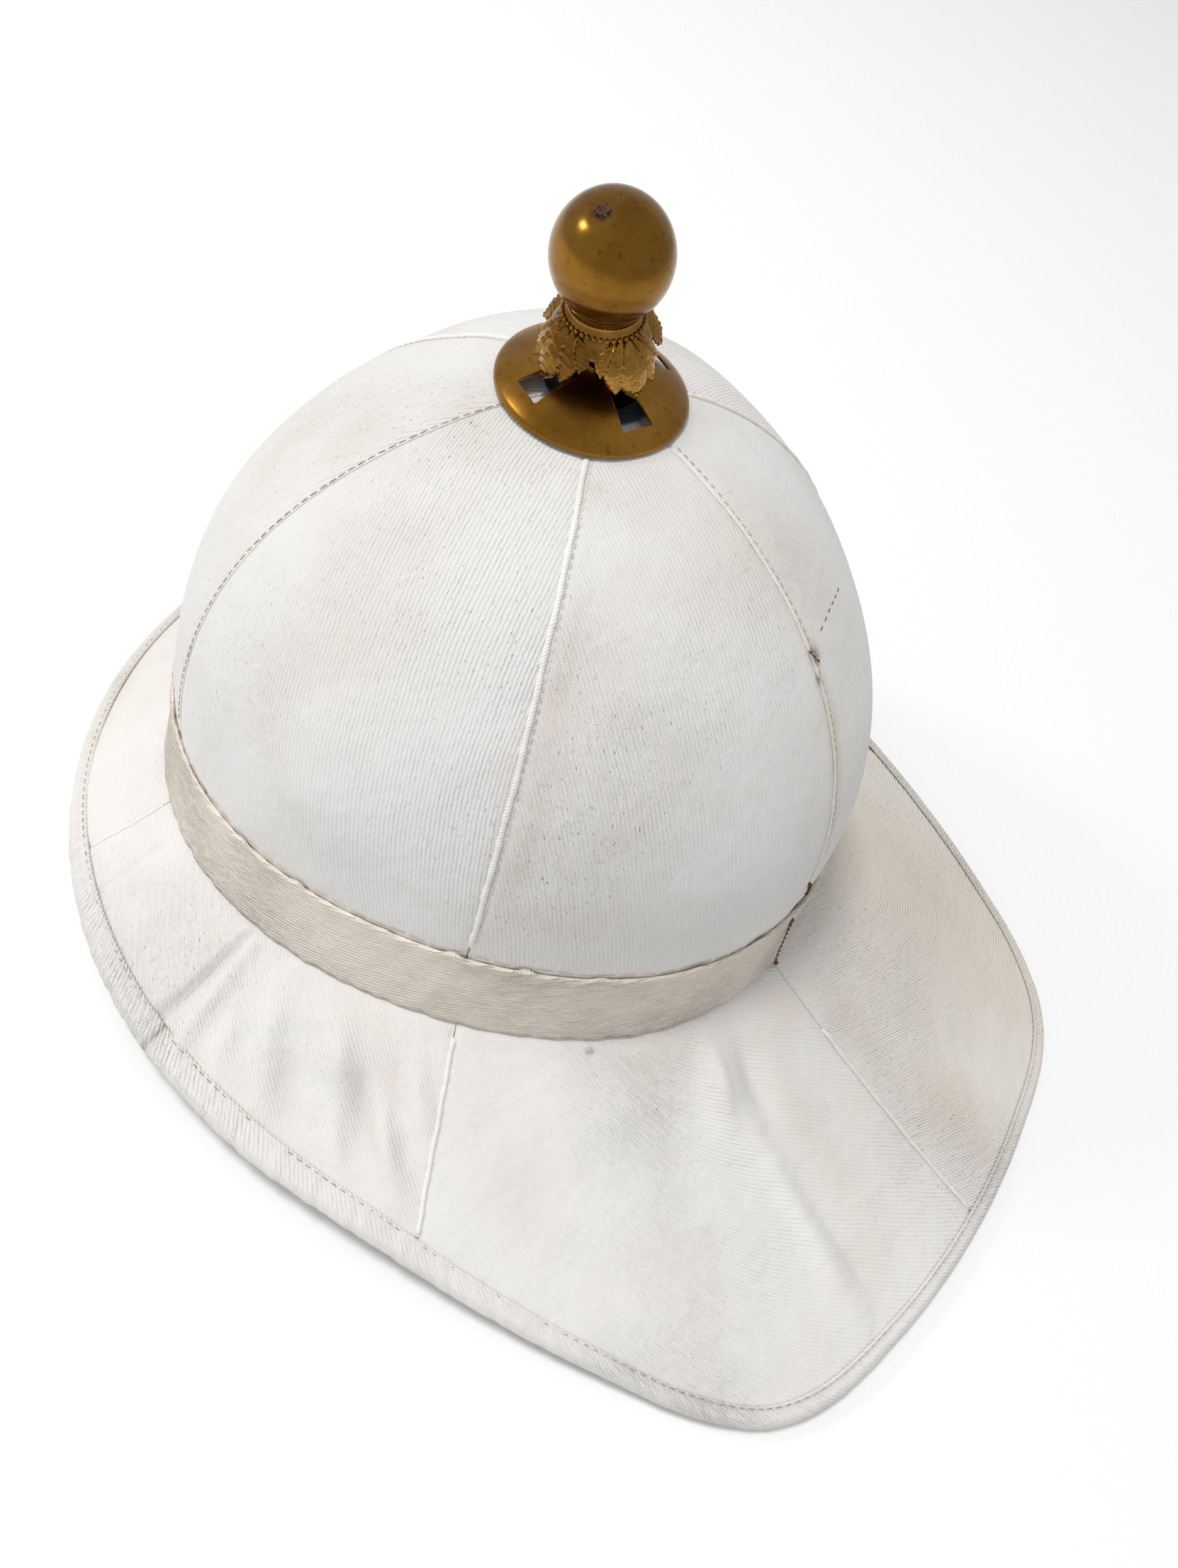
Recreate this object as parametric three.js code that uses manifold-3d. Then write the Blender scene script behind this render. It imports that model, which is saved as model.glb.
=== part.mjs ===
// A sun helmet of moulded pith covered in cotton drill, with a brass vent plate and a ball finial.
// Millimetres, +Z up. The long neck guard points along -Y and the short front peak along +Y.
// Azimuths are measured from the neck guard, turning towards +X.
import * as THREE from 'three';
import { mergeVertices } from 'three/addons/utils/BufferGeometryUtils.js';
import Module from 'manifold-3d';

// ---- driving dimensions -------------------------------------------------------------------------
const CROWN = {
  meanRadius: 108.5, // cloth surface at the band's upper edge
  egg: 4.7, // fuller towards the neck
  oval: 1.4,
  corner: 4.2, // slightly three-cornered plan
  height: 119, // above the band's upper edge
  rise: 2.23, // exponents of the dome's profile
  round: 2.06,
  flare: 3.5, // how far the wall spreads below the band's upper edge
};
const BAND = { height: 34, thick: 1, lift: 0.3 };
const CLOTH = 0.9; // thickness of the drill
const GAP = 0.3; // between pieces that touch
const PITH = 4; // thickness of the moulded shell
const ROOT_STEP = 2; // the small ledge where the wall turns into the brim
const BRIM_SAG = 0.06; // how much the brim bellies below a straight slope
const BINDING = { cover: 12, nose: 3, thick: 0.9, clearance: 0.6, hem: 0.7 };
const WELT = { halfWidth: 1.2, thick: 0.8 };
const SEAMS = [0, 56, 118, 180, 242, 304]; // azimuths of the six seams, closer together at the neck
const PRESSED = 0.6; // how far the binding is squashed flat where it rests

// The brim's edge: how far it reaches from the axis, and how far it drops below the band's top.
const EDGE = [
  { azimuth: 0, reach: 233.5, drop: 77 },
  { azimuth: 12, reach: 234.5, drop: 76.8 },
  { azimuth: 20, reach: 236, drop: 76.2 },
  { azimuth: 25, reach: 233, drop: 75.2 },
  { azimuth: 30, reach: 223.5, drop: 72.5 },
  { azimuth: 38, reach: 204, drop: 68 },
  { azimuth: 48, reach: 185.5, drop: 63.5 },
  { azimuth: 60, reach: 170.5, drop: 59 },
  { azimuth: 75, reach: 161.5, drop: 55.5 },
  { azimuth: 90, reach: 155.5, drop: 53.5 },
  { azimuth: 110, reach: 149.5, drop: 53 },
  { azimuth: 135, reach: 144, drop: 54 },
  { azimuth: 160, reach: 141.5, drop: 56 },
  { azimuth: 180, reach: 142, drop: 57 },
];

// The finial has settled over to one side, and the crown's top has sunk with it.
const LEAN = {
  seat: { degrees: 4.5, azimuth: -75 },
  stem: { degrees: 9.5, azimuth: -95 },
  pivot: 119,
};

const PLATE = {
  radius: 26,
  rimTop: 119.3,
  rimBottom: 117.8,
  rimRound: 0.8, // how much the rim's upper corner is rounded off
  shoulderRadius: 16,
  shoulderRise: 0.55, // of the whole dome's height
  bossRadius: 8.2, // the nearly flat middle, under the leaves
  bossFall: 0.5,
  centre: 125.5,
  thick: 0.8,
  hole: 3.2,
};
const WINDOW = {
  count: 4,
  first: -18,
  inner: 6.8,
  outer: 19.4,
  innerWidth: 4.2,
  outerWidth: 8.6,
  corner: 1.2,
};
const VENT = {
  radius: 13,
  tube: 11.2,
  wall: 0.8,
  bottom: 107,
  flange: 15,
  flangeTop: 120.1,
  bar: 6,
  barThick: 1.5,
};
const LEAVES = {
  lobes: 4,
  first: -15,
  notch: 0.66, // how far up the bell the notches between lobes reach
  bellTop: 0.8, // where the bell meets its neck
  thick: 1.1,
  bottom: 127.4,
  top: 143.7,
  profile: [
    { up: 0, radius: 15.3 },
    { up: 0.2, radius: 15.6 },
    { up: 0.45, radius: 14.6 },
    { up: 0.65, radius: 12.4 },
    { up: 0.8, radius: 10 },
    { up: 0.87, radius: 9 },
    { up: 0.94, radius: 8.9 },
    { up: 1, radius: 9.4 },
  ],
};
const BALL = { radius: 15.1, centre: 156.7, wall: 0.9, mouth: 6 };
const POST = { radius: 2.5, bottom: 101, top: 150, nutRadius: 5.5, nutTop: 106.5 };

const COLUMNS_PER_GORE = 9;
const DOME_ROWS = 8;
const WALL_ROWS = 2;
const BRIM_ROWS = 4;
const STEPS = { plate: 48, collar: 36, ballRound: 24, ballArc: 14, post: 16, perLobe: 12 };

// Where the sheets end, as stations on the helmet's outer surface.
const ROWS = {
  brimEdge: -1,
  brimRoot: -0.02,
  bandLow: 0.05,
  wallLow: 0.06,
  bandTop: 1,
  weltLow: 1.02,
  top: 2,
};

const radians = THREE.MathUtils.degToRad;

// ---- the helmet's outer surface -----------------------------------------------------------------
function bandRadius(azimuth) {
  const ripple = CROWN.oval * Math.cos(2 * azimuth) + CROWN.corner * Math.cos(3 * azimuth);
  return CROWN.meanRadius + CROWN.egg * Math.cos(azimuth) + ripple;
}

// A smooth reading of one column of EDGE, level at both ends of the table.
function edgeValue(azimuth, column) {
  const turns = Math.abs(THREE.MathUtils.euclideanModulo(azimuth + Math.PI, 2 * Math.PI) - Math.PI);
  const degrees = THREE.MathUtils.radToDeg(turns);
  const last = EDGE.length - 2;
  const found = EDGE.findIndex((row, i) => i <= last && degrees <= EDGE[i + 1].azimuth);
  const i = found < 0 ? last : found;
  const slopeAt = (k) => {
    if (k === 0 || k === EDGE.length - 1) {
      return 0;
    }
    const run = EDGE[k + 1].azimuth - EDGE[k - 1].azimuth;
    return (EDGE[k + 1][column] - EDGE[k - 1][column]) / run;
  };
  const width = EDGE[i + 1].azimuth - EDGE[i].azimuth;
  const t = (degrees - EDGE[i].azimuth) / width;
  const a = (1 + 2 * t) * (1 - t) ** 2;
  const b = t * (1 - t) ** 2 * width;
  const c = t * t * (3 - 2 * t);
  const d = t * t * (t - 1) * width;
  return a * EDGE[i][column] + b * slopeAt(i) + c * EDGE[i + 1][column] + d * slopeAt(i + 1);
}

function outward(azimuth, radius, z) {
  return new THREE.Vector3(radius * Math.sin(azimuth), -radius * Math.cos(azimuth), z);
}

// Station -1 is the brim's edge, 0 the brim's root, 1 the band's upper edge and 2 the vent's mouth.
function surfacePoint(azimuth, station) {
  const top = bandRadius(azimuth);
  const rootRadius = top + CROWN.flare + ROOT_STEP;
  if (station <= 0) {
    const u = -station;
    const edge = edgeValue(azimuth, 'reach') - BINDING.nose;
    const fall = edgeValue(azimuth, 'drop') - BAND.height;
    const sag = BRIM_SAG * Math.sin(Math.PI * u);
    return outward(azimuth, rootRadius + (edge - rootRadius) * u, -BAND.height - fall * (u + sag));
  }
  if (station <= 1) {
    const depth = 1 - station;
    const spread = CROWN.flare * depth ** 1.5;
    return outward(azimuth, top + spread, -BAND.height * depth);
  }
  const mouth = Math.acos((VENT.radius / top) ** (CROWN.round / 2));
  const s = (station - 1) * mouth;
  const radius = top * Math.cos(s) ** (2 / CROWN.round);
  const along = radius * Math.cos(azimuth - radians(LEAN.seat.azimuth));
  const sunken = along * Math.tan(radians(LEAN.seat.degrees)) * (station - 1) ** 3;
  return outward(azimuth, radius, CROWN.height * Math.sin(s) ** (2 / CROWN.rise) - sunken);
}

function surfaceNormal(azimuth, station) {
  const step = 0.004;
  const low = surfacePoint(azimuth, Math.max(station - step, ROWS.brimEdge));
  const high = surfacePoint(azimuth, Math.min(station + step, ROWS.top));
  const left = surfacePoint(azimuth - step, station);
  const right = surfacePoint(azimuth + step, station);
  return right.sub(left).cross(high.sub(low)).normalize();
}

// A point a given depth below the cloth's outer face.
function sunk(azimuth, station, depth) {
  return surfacePoint(azimuth, station).addScaledVector(surfaceNormal(azimuth, station), -depth);
}

// ---- mesh helpers -------------------------------------------------------------------------------
function solidFrom(points, faces) {
  const geometry = new THREE.BufferGeometry();
  geometry.setAttribute('position', new THREE.Float32BufferAttribute(points.flatMap((p) => p.toArray()), 3));
  geometry.setIndex(faces);
  geometry.computeVertexNormals();
  return geometry;
}

function addQuad(faces, a, b, c, d) {
  faces.push(a, b, c, a, c, d);
}

// A sheet with two faces. outer and inner are functions of (column, row); a ring wraps its columns.
function sheetSolid(columns, rows, outer, inner, ring) {
  const across = ring ? columns : columns + 1;
  const points = [];
  for (const side of [outer, inner]) {
    for (let j = 0; j <= rows; j += 1) {
      for (let i = 0; i < across; i += 1) {
        points.push(side(i, j));
      }
    }
  }
  const half = across * (rows + 1);
  const at = (i, j) => j * across + (i % across);
  const faces = [];
  for (let i = 0; i < columns; i += 1) {
    for (let j = 0; j < rows; j += 1) {
      addQuad(faces, at(i, j), at(i + 1, j), at(i + 1, j + 1), at(i, j + 1));
      addQuad(faces, half + at(i, j), half + at(i, j + 1), half + at(i + 1, j + 1), half + at(i + 1, j));
    }
    addQuad(faces, at(i, 0), half + at(i, 0), half + at(i + 1, 0), at(i + 1, 0));
    addQuad(faces, at(i, rows), at(i + 1, rows), half + at(i + 1, rows), half + at(i, rows));
  }
  if (!ring) {
    for (let j = 0; j < rows; j += 1) {
      addQuad(faces, at(0, j), at(0, j + 1), half + at(0, j + 1), half + at(0, j));
      const c = columns;
      addQuad(faces, at(c, j), half + at(c, j), half + at(c, j + 1), at(c, j + 1));
    }
  }
  return solidFrom(points, faces);
}

// A closed ring whose section, a loop of points, is a function of the step.
function ringSolid(steps, sectionAt) {
  const points = [];
  for (let i = 0; i < steps; i += 1) {
    points.push(...sectionAt(i));
  }
  const count = points.length / steps;
  const faces = [];
  for (let i = 0; i < steps; i += 1) {
    for (let k = 0; k < count; k += 1) {
      const next = (k + 1) % count;
      const a = i * count;
      const b = ((i + 1) % steps) * count;
      addQuad(faces, a + k, b + k, b + next, a + next);
    }
  }
  return solidFrom(points, faces);
}

const wasm = await Module();
wasm.setup();
const SAME_POINT = 1e-4; // vertices closer than this are one

function toManifold(geometry) {
  const bare = geometry.clone();
  bare.deleteAttribute('normal');
  bare.deleteAttribute('uv');
  const merged = mergeVertices(bare, SAME_POINT);
  const vertProperties = new Float32Array(merged.attributes.position.array);
  const triVerts = new Uint32Array(merged.index.array);
  return new wasm.Manifold(new wasm.Mesh({ numProp: 3, vertProperties, triVerts }));
}

function fromManifold(solid) {
  const mesh = solid.getMesh();
  const geometry = new THREE.BufferGeometry();
  geometry.setAttribute('position', new THREE.Float32BufferAttribute(mesh.vertProperties, 3));
  geometry.setIndex(Array.from(mesh.triVerts));
  geometry.computeVertexNormals();
  return geometry;
}

// A turned solid about +Z from a closed profile of [radius, height] pairs.
function turned(profile, steps) {
  const outline = profile.map(([radius, height]) => new THREE.Vector2(radius, height));
  return new THREE.LatheGeometry(outline, steps).rotateX(Math.PI / 2);
}

// ---- stations shared by the sheets, so that their facets stay parallel ---------------------------
function stationsBetween(from, to, count) {
  return Array.from({ length: count + 1 }, (unused, i) => from + ((to - from) * i) / count);
}

const brimStations = stationsBetween(ROWS.brimEdge, ROWS.brimRoot, BRIM_ROWS);
const wallStations = stationsBetween(ROWS.wallLow, ROWS.bandTop, WALL_ROWS);
const domeStations = stationsBetween(ROWS.bandTop, ROWS.top, DOME_ROWS);
const crownStations = [...wallStations, ...domeStations.slice(1)];
const COLUMNS = SEAMS.length * COLUMNS_PER_GORE;

// The columns of facets split each gore evenly, so every seam falls on a column.
function columnAzimuth(column) {
  const gore = Math.floor(column / COLUMNS_PER_GORE) % SEAMS.length;
  const part = (column % COLUMNS_PER_GORE) / COLUMNS_PER_GORE;
  const next = gore + 1 < SEAMS.length ? SEAMS[gore + 1] : SEAMS[0] + 360;
  return radians(SEAMS[gore] + (next - SEAMS[gore]) * part);
}

// ---- pieces -------------------------------------------------------------------------------------
function pithShell() {
  const stations = [...brimStations, ...crownStations];
  const outerDepth = CLOTH + GAP;
  const face = (depth) => (i, j) => sunk(columnAzimuth(i), stations[j], depth);
  return sheetSolid(COLUMNS, stations.length - 1, face(outerDepth), face(outerDepth + PITH), true);
}

// A cloth panel between two seams, drawn in by half a gap at each seam.
function clothPanel(index, stations) {
  const gapAt = (station) => GAP / (2 * Math.abs(surfacePoint(0, station).y));
  const azimuthAt = (i, station) => {
    const azimuth = columnAzimuth(index * COLUMNS_PER_GORE + i);
    const inset = gapAt(station);
    if (i === 0) {
      return azimuth + inset;
    }
    if (i === COLUMNS_PER_GORE) {
      return (azimuth === 0 ? 2 * Math.PI : azimuth) - inset;
    }
    return azimuth;
  };
  const face = (depth) => (i, j) => sunk(azimuthAt(i, stations[j]), stations[j], depth);
  return sheetSolid(COLUMNS_PER_GORE, stations.length - 1, face(0), face(CLOTH), false);
}

// A narrow folded strip that rides on a seam.
function seamWelt(index, stations) {
  const middle = columnAzimuth(index * COLUMNS_PER_GORE);
  const azimuthAt = (i, station) => {
    const point = surfacePoint(middle, station);
    return middle + ((i - 1) * WELT.halfWidth) / Math.hypot(point.x, point.y);
  };
  const lift = (height) => (i, j) => sunk(azimuthAt(i, stations[j]), stations[j], -height);
  return sheetSolid(2, stations.length - 1, lift(GAP + WELT.thick), lift(GAP), false);
}

// A brim welt runs from the band's lower edge to just short of the binding.
function brimWeltStations(index) {
  const azimuth = columnAzimuth(index * COLUMNS_PER_GORE);
  const edge = surfacePoint(azimuth, ROWS.brimEdge);
  const slope = edge.distanceTo(surfacePoint(azimuth, 0));
  const start = ROWS.brimEdge + (BINDING.cover + 1) / slope;
  const shortestRow = 0.05;
  return [start, ...brimStations.filter((station) => station > start + shortestRow)];
}

function hatBand() {
  const stations = stationsBetween(ROWS.bandLow, ROWS.bandTop, WALL_ROWS);
  const lift = (height) => (i, j) => sunk(columnAzimuth(i), stations[j], -height);
  return sheetSolid(COLUMNS, WALL_ROWS, lift(BAND.lift + BAND.thick), lift(BAND.lift), true);
}

// The binding's section: out runs along the brim's slope, up along its normal.
const STACK = CLOTH + GAP + PITH; // cloth and pith at the brim's edge
const FOOT = { out: 0, up: -STACK - GAP - BINDING.thick }; // the line that the helmet stands on
const BINDING_LOOP = [
  { out: -BINDING.cover, up: BINDING.clearance },
  { out: BINDING.clearance, up: BINDING.clearance },
  { out: BINDING.clearance, up: -STACK - GAP },
  { out: -BINDING.cover, up: -STACK - GAP },
  { out: -BINDING.cover, up: -STACK - GAP - BINDING.thick },
  FOOT,
  { out: BINDING.nose - BINDING.hem, up: -STACK - GAP },
  { out: BINDING.nose, up: -STACK / 2 },
  { out: BINDING.nose - BINDING.hem, up: -BINDING.hem },
  { out: 0, up: BINDING.clearance + BINDING.thick },
  { out: -BINDING.cover, up: BINDING.clearance + BINDING.thick },
];

function bindingPoint(azimuth, spot) {
  const edge = surfacePoint(azimuth, ROWS.brimEdge);
  const insideEdge = surfacePoint(azimuth, 0.96 * ROWS.brimEdge);
  const out = edge.clone().sub(insideEdge).normalize();
  const around = new THREE.Vector3(Math.cos(azimuth), Math.sin(azimuth), 0);
  const up = around.cross(out.clone().negate()).normalize();
  return edge.addScaledVector(out, spot.out).addScaledVector(up, spot.up);
}

// The surface that the helmet stands on, seen from the helmet: it touches the neck guard and the peak.
const neckFoot = bindingPoint(0, FOOT);
const peakFoot = bindingPoint(Math.PI, FOOT);
const floorSlope = (peakFoot.z - neckFoot.z) / (peakFoot.y - neckFoot.y);
const floorAt = (y) => neckFoot.z + PRESSED + floorSlope * (y - neckFoot.y);

function edgeBinding() {
  return ringSolid(COLUMNS, (column) => BINDING_LOOP.map((spot) => {
    const point = bindingPoint(columnAzimuth(column), spot);
    point.z = Math.max(point.z, floorAt(point.y));
    return point;
  }));
}

function windowCutter(azimuth) {
  const shape = new THREE.Shape();
  const { inner, outer, innerWidth, outerWidth, corner } = WINDOW;
  shape.moveTo(inner, -innerWidth / 2);
  shape.lineTo(outer - corner, -outerWidth / 2);
  shape.quadraticCurveTo(outer, -outerWidth / 2, outer, -outerWidth / 2 + corner);
  shape.lineTo(outer, outerWidth / 2 - corner);
  shape.quadraticCurveTo(outer, outerWidth / 2, outer - corner, outerWidth / 2);
  shape.lineTo(inner, innerWidth / 2);
  const reach = 2 * (PLATE.centre - PLATE.rimBottom); // well past the plate, above and below
  const blade = new THREE.ExtrudeGeometry(shape, { depth: 2 * reach, bevelEnabled: false, curveSegments: 4 });
  return blade.rotateZ(azimuth - Math.PI / 2).translate(0, 0, PLATE.centre - reach);
}

function ventPlate() {
  const { radius, rimTop, rimBottom, rimRound, centre, thick, hole } = PLATE;
  const { shoulderRadius, bossRadius, bossFall } = PLATE;
  const shoulder = rimTop + PLATE.shoulderRise * (centre - rimTop);
  const plate = turned([
    [hole, centre - thick],
    [bossRadius, centre - thick - bossFall],
    [shoulderRadius, shoulder - thick],
    [radius - 2 * thick, rimTop - thick],
    [radius - thick, rimTop - thick - rimRound],
    [radius - thick, rimBottom],
    [radius, rimBottom],
    [radius, rimTop - rimRound],
    [radius - rimRound, rimTop],
    [shoulderRadius, shoulder],
    [bossRadius, centre - bossFall],
    [hole, centre],
    [hole, centre - thick],
  ], STEPS.plate);
  let solid = toManifold(plate);
  for (let k = 0; k < WINDOW.count; k += 1) {
    const azimuth = radians(WINDOW.first + (360 * k) / WINDOW.count);
    solid = solid.subtract(toManifold(windowCutter(azimuth)));
  }
  return fromManifold(solid);
}

// The metal lining of the vent: a flanged tube with a bar across its foot that the post passes through.
function ventCollar() {
  const { tube, wall, bottom, flange, flangeTop, bar, barThick } = VENT;
  const ring = turned([
    [tube - wall, bottom],
    [tube, bottom],
    [tube, flangeTop - wall],
    [flange, flangeTop - wall],
    [flange, flangeTop],
    [tube - wall, flangeTop],
    [tube - wall, bottom],
  ], STEPS.collar);
  const bridge = new THREE.BoxGeometry(2 * tube - wall, bar, barThick).translate(0, 0, bottom + barThick / 2);
  const bore = turned([
    [0, bottom - barThick],
    [POST.radius + GAP, bottom - barThick],
    [POST.radius + GAP, bottom + 2 * barThick],
    [0, bottom + 2 * barThick],
  ], STEPS.post);
  return fromManifold(toManifold(ring).add(toManifold(bridge)).subtract(toManifold(bore)));
}

// The collar of leaves: a neck ring that opens into a bell of lobes with deep notches between them.
function leafCollar() {
  const { lobes, first, notch, bellTop, thick, bottom, top, profile } = LEAVES;
  const steps = lobes * STEPS.perLobe;
  const radiusAt = (up) => {
    const k = profile.findIndex((row, i) => i > 0 && up <= row.up + 1e-9);
    const below = profile[k - 1];
    const above = profile[k];
    return below.radius + ((above.radius - below.radius) * (up - below.up)) / (above.up - below.up);
  };
  const face = (inset) => (i, j) => {
    const turn = (2 * Math.PI * i) / steps;
    const hem = notch * ((1 - Math.cos(lobes * turn)) / 2) ** 2;
    const row = profile[j].up;
    const up = row < bellTop ? hem + ((bellTop - hem) * row) / bellTop : row;
    return outward(turn + radians(first), radiusAt(up) - inset, bottom + (top - bottom) * up);
  };
  return sheetSolid(steps, profile.length - 1, face(0), face(thick), true);
}

function ballKnob() {
  const { radius, centre, wall, mouth } = BALL;
  const profile = [];
  const steps = STEPS.ballArc;
  const outerStart = Math.asin(mouth / radius);
  const innerStart = Math.asin(mouth / (radius - wall));
  for (let k = 0; k <= steps; k += 1) {
    const angle = outerStart + ((Math.PI - outerStart) * k) / steps;
    profile.push([k === steps ? 0 : radius * Math.sin(angle), centre - radius * Math.cos(angle)]);
  }
  for (let k = steps; k >= 0; k -= 1) {
    const angle = innerStart + ((Math.PI - innerStart) * k) / steps;
    const reach = radius - wall;
    profile.push([k === steps ? 0 : reach * Math.sin(angle), centre - reach * Math.cos(angle)]);
  }
  profile.push(profile[0]);
  return turned(profile, STEPS.ballRound);
}

function hiddenPost() {
  const { radius, bottom, top, nutRadius, nutTop } = POST;
  return turned([
    [0, bottom],
    [nutRadius, bottom],
    [nutRadius, nutTop],
    [radius, nutTop],
    [radius, top],
    [0, top],
  ], STEPS.post);
}

// ---- materials ----------------------------------------------------------------------------------
function material(color, roughness, metalness) {
  return new THREE.MeshStandardMaterial({ color, roughness, metalness });
}

const crownCloth = material(0xd8d6d0, 0.85, 0);
const brimCloth = material(0xd2cbc0, 0.85, 0);
const weltCloth = material(0xdedbd4, 0.85, 0);
const bandCloth = material(0xd2c3b2, 0.9, 0);
const bindingCloth = material(0xd6cfc4, 0.9, 0);
const pith = material(0xcfc3a4, 0.95, 0);
const agedBrass = material(0x7d5a2a, 0.4, 1);
const darkZinc = material(0x3b4048, 0.5, 0.8);

// ---- assembly -----------------------------------------------------------------------------------
const helmet = new THREE.Group();

function place(name, geometry, surface, parent = helmet) {
  const mesh = new THREE.Mesh(geometry, surface);
  mesh.name = name;
  parent.add(mesh);
}

// A group inside the helmet that leans towards an azimuth, about a point on the crown's axis.
function leaning({ degrees, azimuth }) {
  const group = new THREE.Group();
  const inner = new THREE.Group();
  const turn = outward(radians(azimuth + 90), 1, 0);
  group.position.z = LEAN.pivot;
  group.quaternion.setFromAxisAngle(turn, radians(degrees));
  inner.position.z = -LEAN.pivot;
  group.add(inner);
  helmet.add(group);
  return inner;
}

place('pith_shell', pithShell(), pith);
const weltStations = [ROWS.weltLow, ...domeStations.slice(1, -2)]; // up to the vent plate's rim
for (let k = 0; k < SEAMS.length; k += 1) {
  place(`crown_gore_${k + 1}`, clothPanel(k, crownStations), crownCloth);
  place(`crown_welt_${k + 1}`, seamWelt(k, weltStations), weltCloth);
  place(`brim_panel_${k + 1}`, clothPanel(k, brimStations), brimCloth);
  place(`brim_welt_${k + 1}`, seamWelt(k, brimWeltStations(k)), weltCloth);
}
place('hat_band', hatBand(), bandCloth);
place('edge_binding', edgeBinding(), bindingCloth);
const seat = leaning(LEAN.seat);
const stem = leaning(LEAN.stem);
place('vent_plate', ventPlate(), agedBrass, seat);
place('vent_collar', ventCollar(), darkZinc, seat);
place('leaf_collar', leafCollar(), agedBrass, stem);
place('ball_knob', ballKnob(), agedBrass, stem);
place('hidden_post', hiddenPost(), agedBrass, seat);

// The helmet dips forward until its peak meets the surface, and stands centred over the origin.
helmet.rotation.x = -Math.atan(floorSlope);
const part = new THREE.Group();
part.add(helmet);
part.updateMatrixWorld(true);
const box = new THREE.Box3().setFromObject(part, true);
helmet.position.set(-(box.min.x + box.max.x) / 2, -(box.min.y + box.max.y) / 2, -box.min.z);

export default part;
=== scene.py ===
import math

import bpy
import numpy as np
from mathutils import Matrix, Vector


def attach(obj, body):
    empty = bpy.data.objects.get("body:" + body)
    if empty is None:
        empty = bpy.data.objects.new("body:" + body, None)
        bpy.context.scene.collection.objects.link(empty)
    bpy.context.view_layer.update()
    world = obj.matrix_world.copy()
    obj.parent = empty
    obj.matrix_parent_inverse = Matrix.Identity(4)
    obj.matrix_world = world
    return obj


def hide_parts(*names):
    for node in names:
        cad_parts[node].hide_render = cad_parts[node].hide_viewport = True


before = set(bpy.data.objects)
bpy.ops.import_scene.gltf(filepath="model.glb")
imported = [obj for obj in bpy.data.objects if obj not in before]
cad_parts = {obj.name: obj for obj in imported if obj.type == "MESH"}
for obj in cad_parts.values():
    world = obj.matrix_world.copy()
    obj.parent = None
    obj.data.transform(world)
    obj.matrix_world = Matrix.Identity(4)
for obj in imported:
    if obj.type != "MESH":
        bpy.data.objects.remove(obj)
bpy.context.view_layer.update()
bpy.ops.object.select_all(action="DESELECT")

# ---- the camera, the table and the light -----------------------------------------------------------
# The helmet stands on a plain white table, seen from above its left side with the camera tipped over.
# One large soft lamp hangs beyond the front peak, and the white room fills in the rest.
CAMERA_AT = (-0.2348, -0.0689, 0.3728)
CAMERA_TURN = (math.radians(37.83), 0.0, math.radians(-71.32))
CAMERA_ROLL = math.radians(26.43)
LENS = 27.07

camera = bpy.data.objects.new("camera", bpy.data.cameras.new("camera"))
bpy.context.scene.collection.objects.link(camera)
look = Matrix.Rotation(CAMERA_TURN[2], 4, "Z") @ Matrix.Rotation(CAMERA_TURN[0], 4, "X")
camera.matrix_world = Matrix.Translation(CAMERA_AT) @ look @ Matrix.Rotation(CAMERA_ROLL, 4, "Z")
camera.data.lens = LENS
camera.data.sensor_width = 36
camera.data.clip_start = 0.01
camera.data.clip_end = 50
bpy.context.scene.camera = camera
bpy.context.scene.view_settings.view_transform = "Standard"
bpy.context.scene.view_settings.look = "None"

bpy.ops.mesh.primitive_plane_add(size=12, location=(0, 0, 0))
table_top = bpy.context.object
table_top.name = "table_top"
paint = bpy.data.materials.new("white_table")
paint.use_nodes = True
coat = paint.node_tree.nodes["Principled BSDF"]
coat.inputs["Base Color"].default_value = (0.93, 0.93, 0.93, 1)
coat.inputs["Roughness"].default_value = 0.9
coat.inputs["Specular IOR Level"].default_value = 0.1
table_top.data.materials.append(paint)

room = bpy.data.worlds.new("white_room")
room.use_nodes = True
sky = room.node_tree.nodes
facing = sky.new("ShaderNodeTexCoord")
spread = sky.new("ShaderNodeVectorMath")
spread.operation = "DOT_PRODUCT"
spread.inputs[1].default_value = (-0.45, 0.80, 0.10)
shade = sky.new("ShaderNodeMapRange")
shade.interpolation_type = "SMOOTHSTEP"
shade.inputs["From Min"].default_value = -0.9
shade.inputs["From Max"].default_value = 0.9
shade.inputs["To Min"].default_value = 0.50
shade.inputs["To Max"].default_value = 0.63
room.node_tree.links.new(facing.outputs["Generated"], spread.inputs[0])
room.node_tree.links.new(spread.outputs["Value"], shade.inputs["Value"])
seen = sky.new("ShaderNodeMath")
seen.operation = "MAXIMUM"
room.node_tree.links.new(shade.outputs["Result"], seen.inputs[0])
room.node_tree.links.new(sky.new("ShaderNodeLightPath").outputs["Is Camera Ray"], seen.inputs[1])
room.node_tree.links.new(seen.outputs[0], sky["Background"].inputs["Strength"])
sky["Background"].inputs["Color"].default_value = (1, 1, 1, 1)
bpy.context.scene.world = room


def soft_lamp(name, place, size, watts, mirrored):
    """A square lamp at a place, turned to face the helmet, which polished metal may or may not mirror."""
    lamp = bpy.data.objects.new(name, bpy.data.lights.new(name, "AREA"))
    lamp.data.size = size
    lamp.data.energy = watts
    lamp.location = place
    lamp.rotation_euler = (Vector((0, 0, 0.08)) - Vector(place)).to_track_quat("-Z", "Y").to_euler()
    lamp.visible_glossy = mirrored
    bpy.context.scene.collection.objects.link(lamp)


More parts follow.
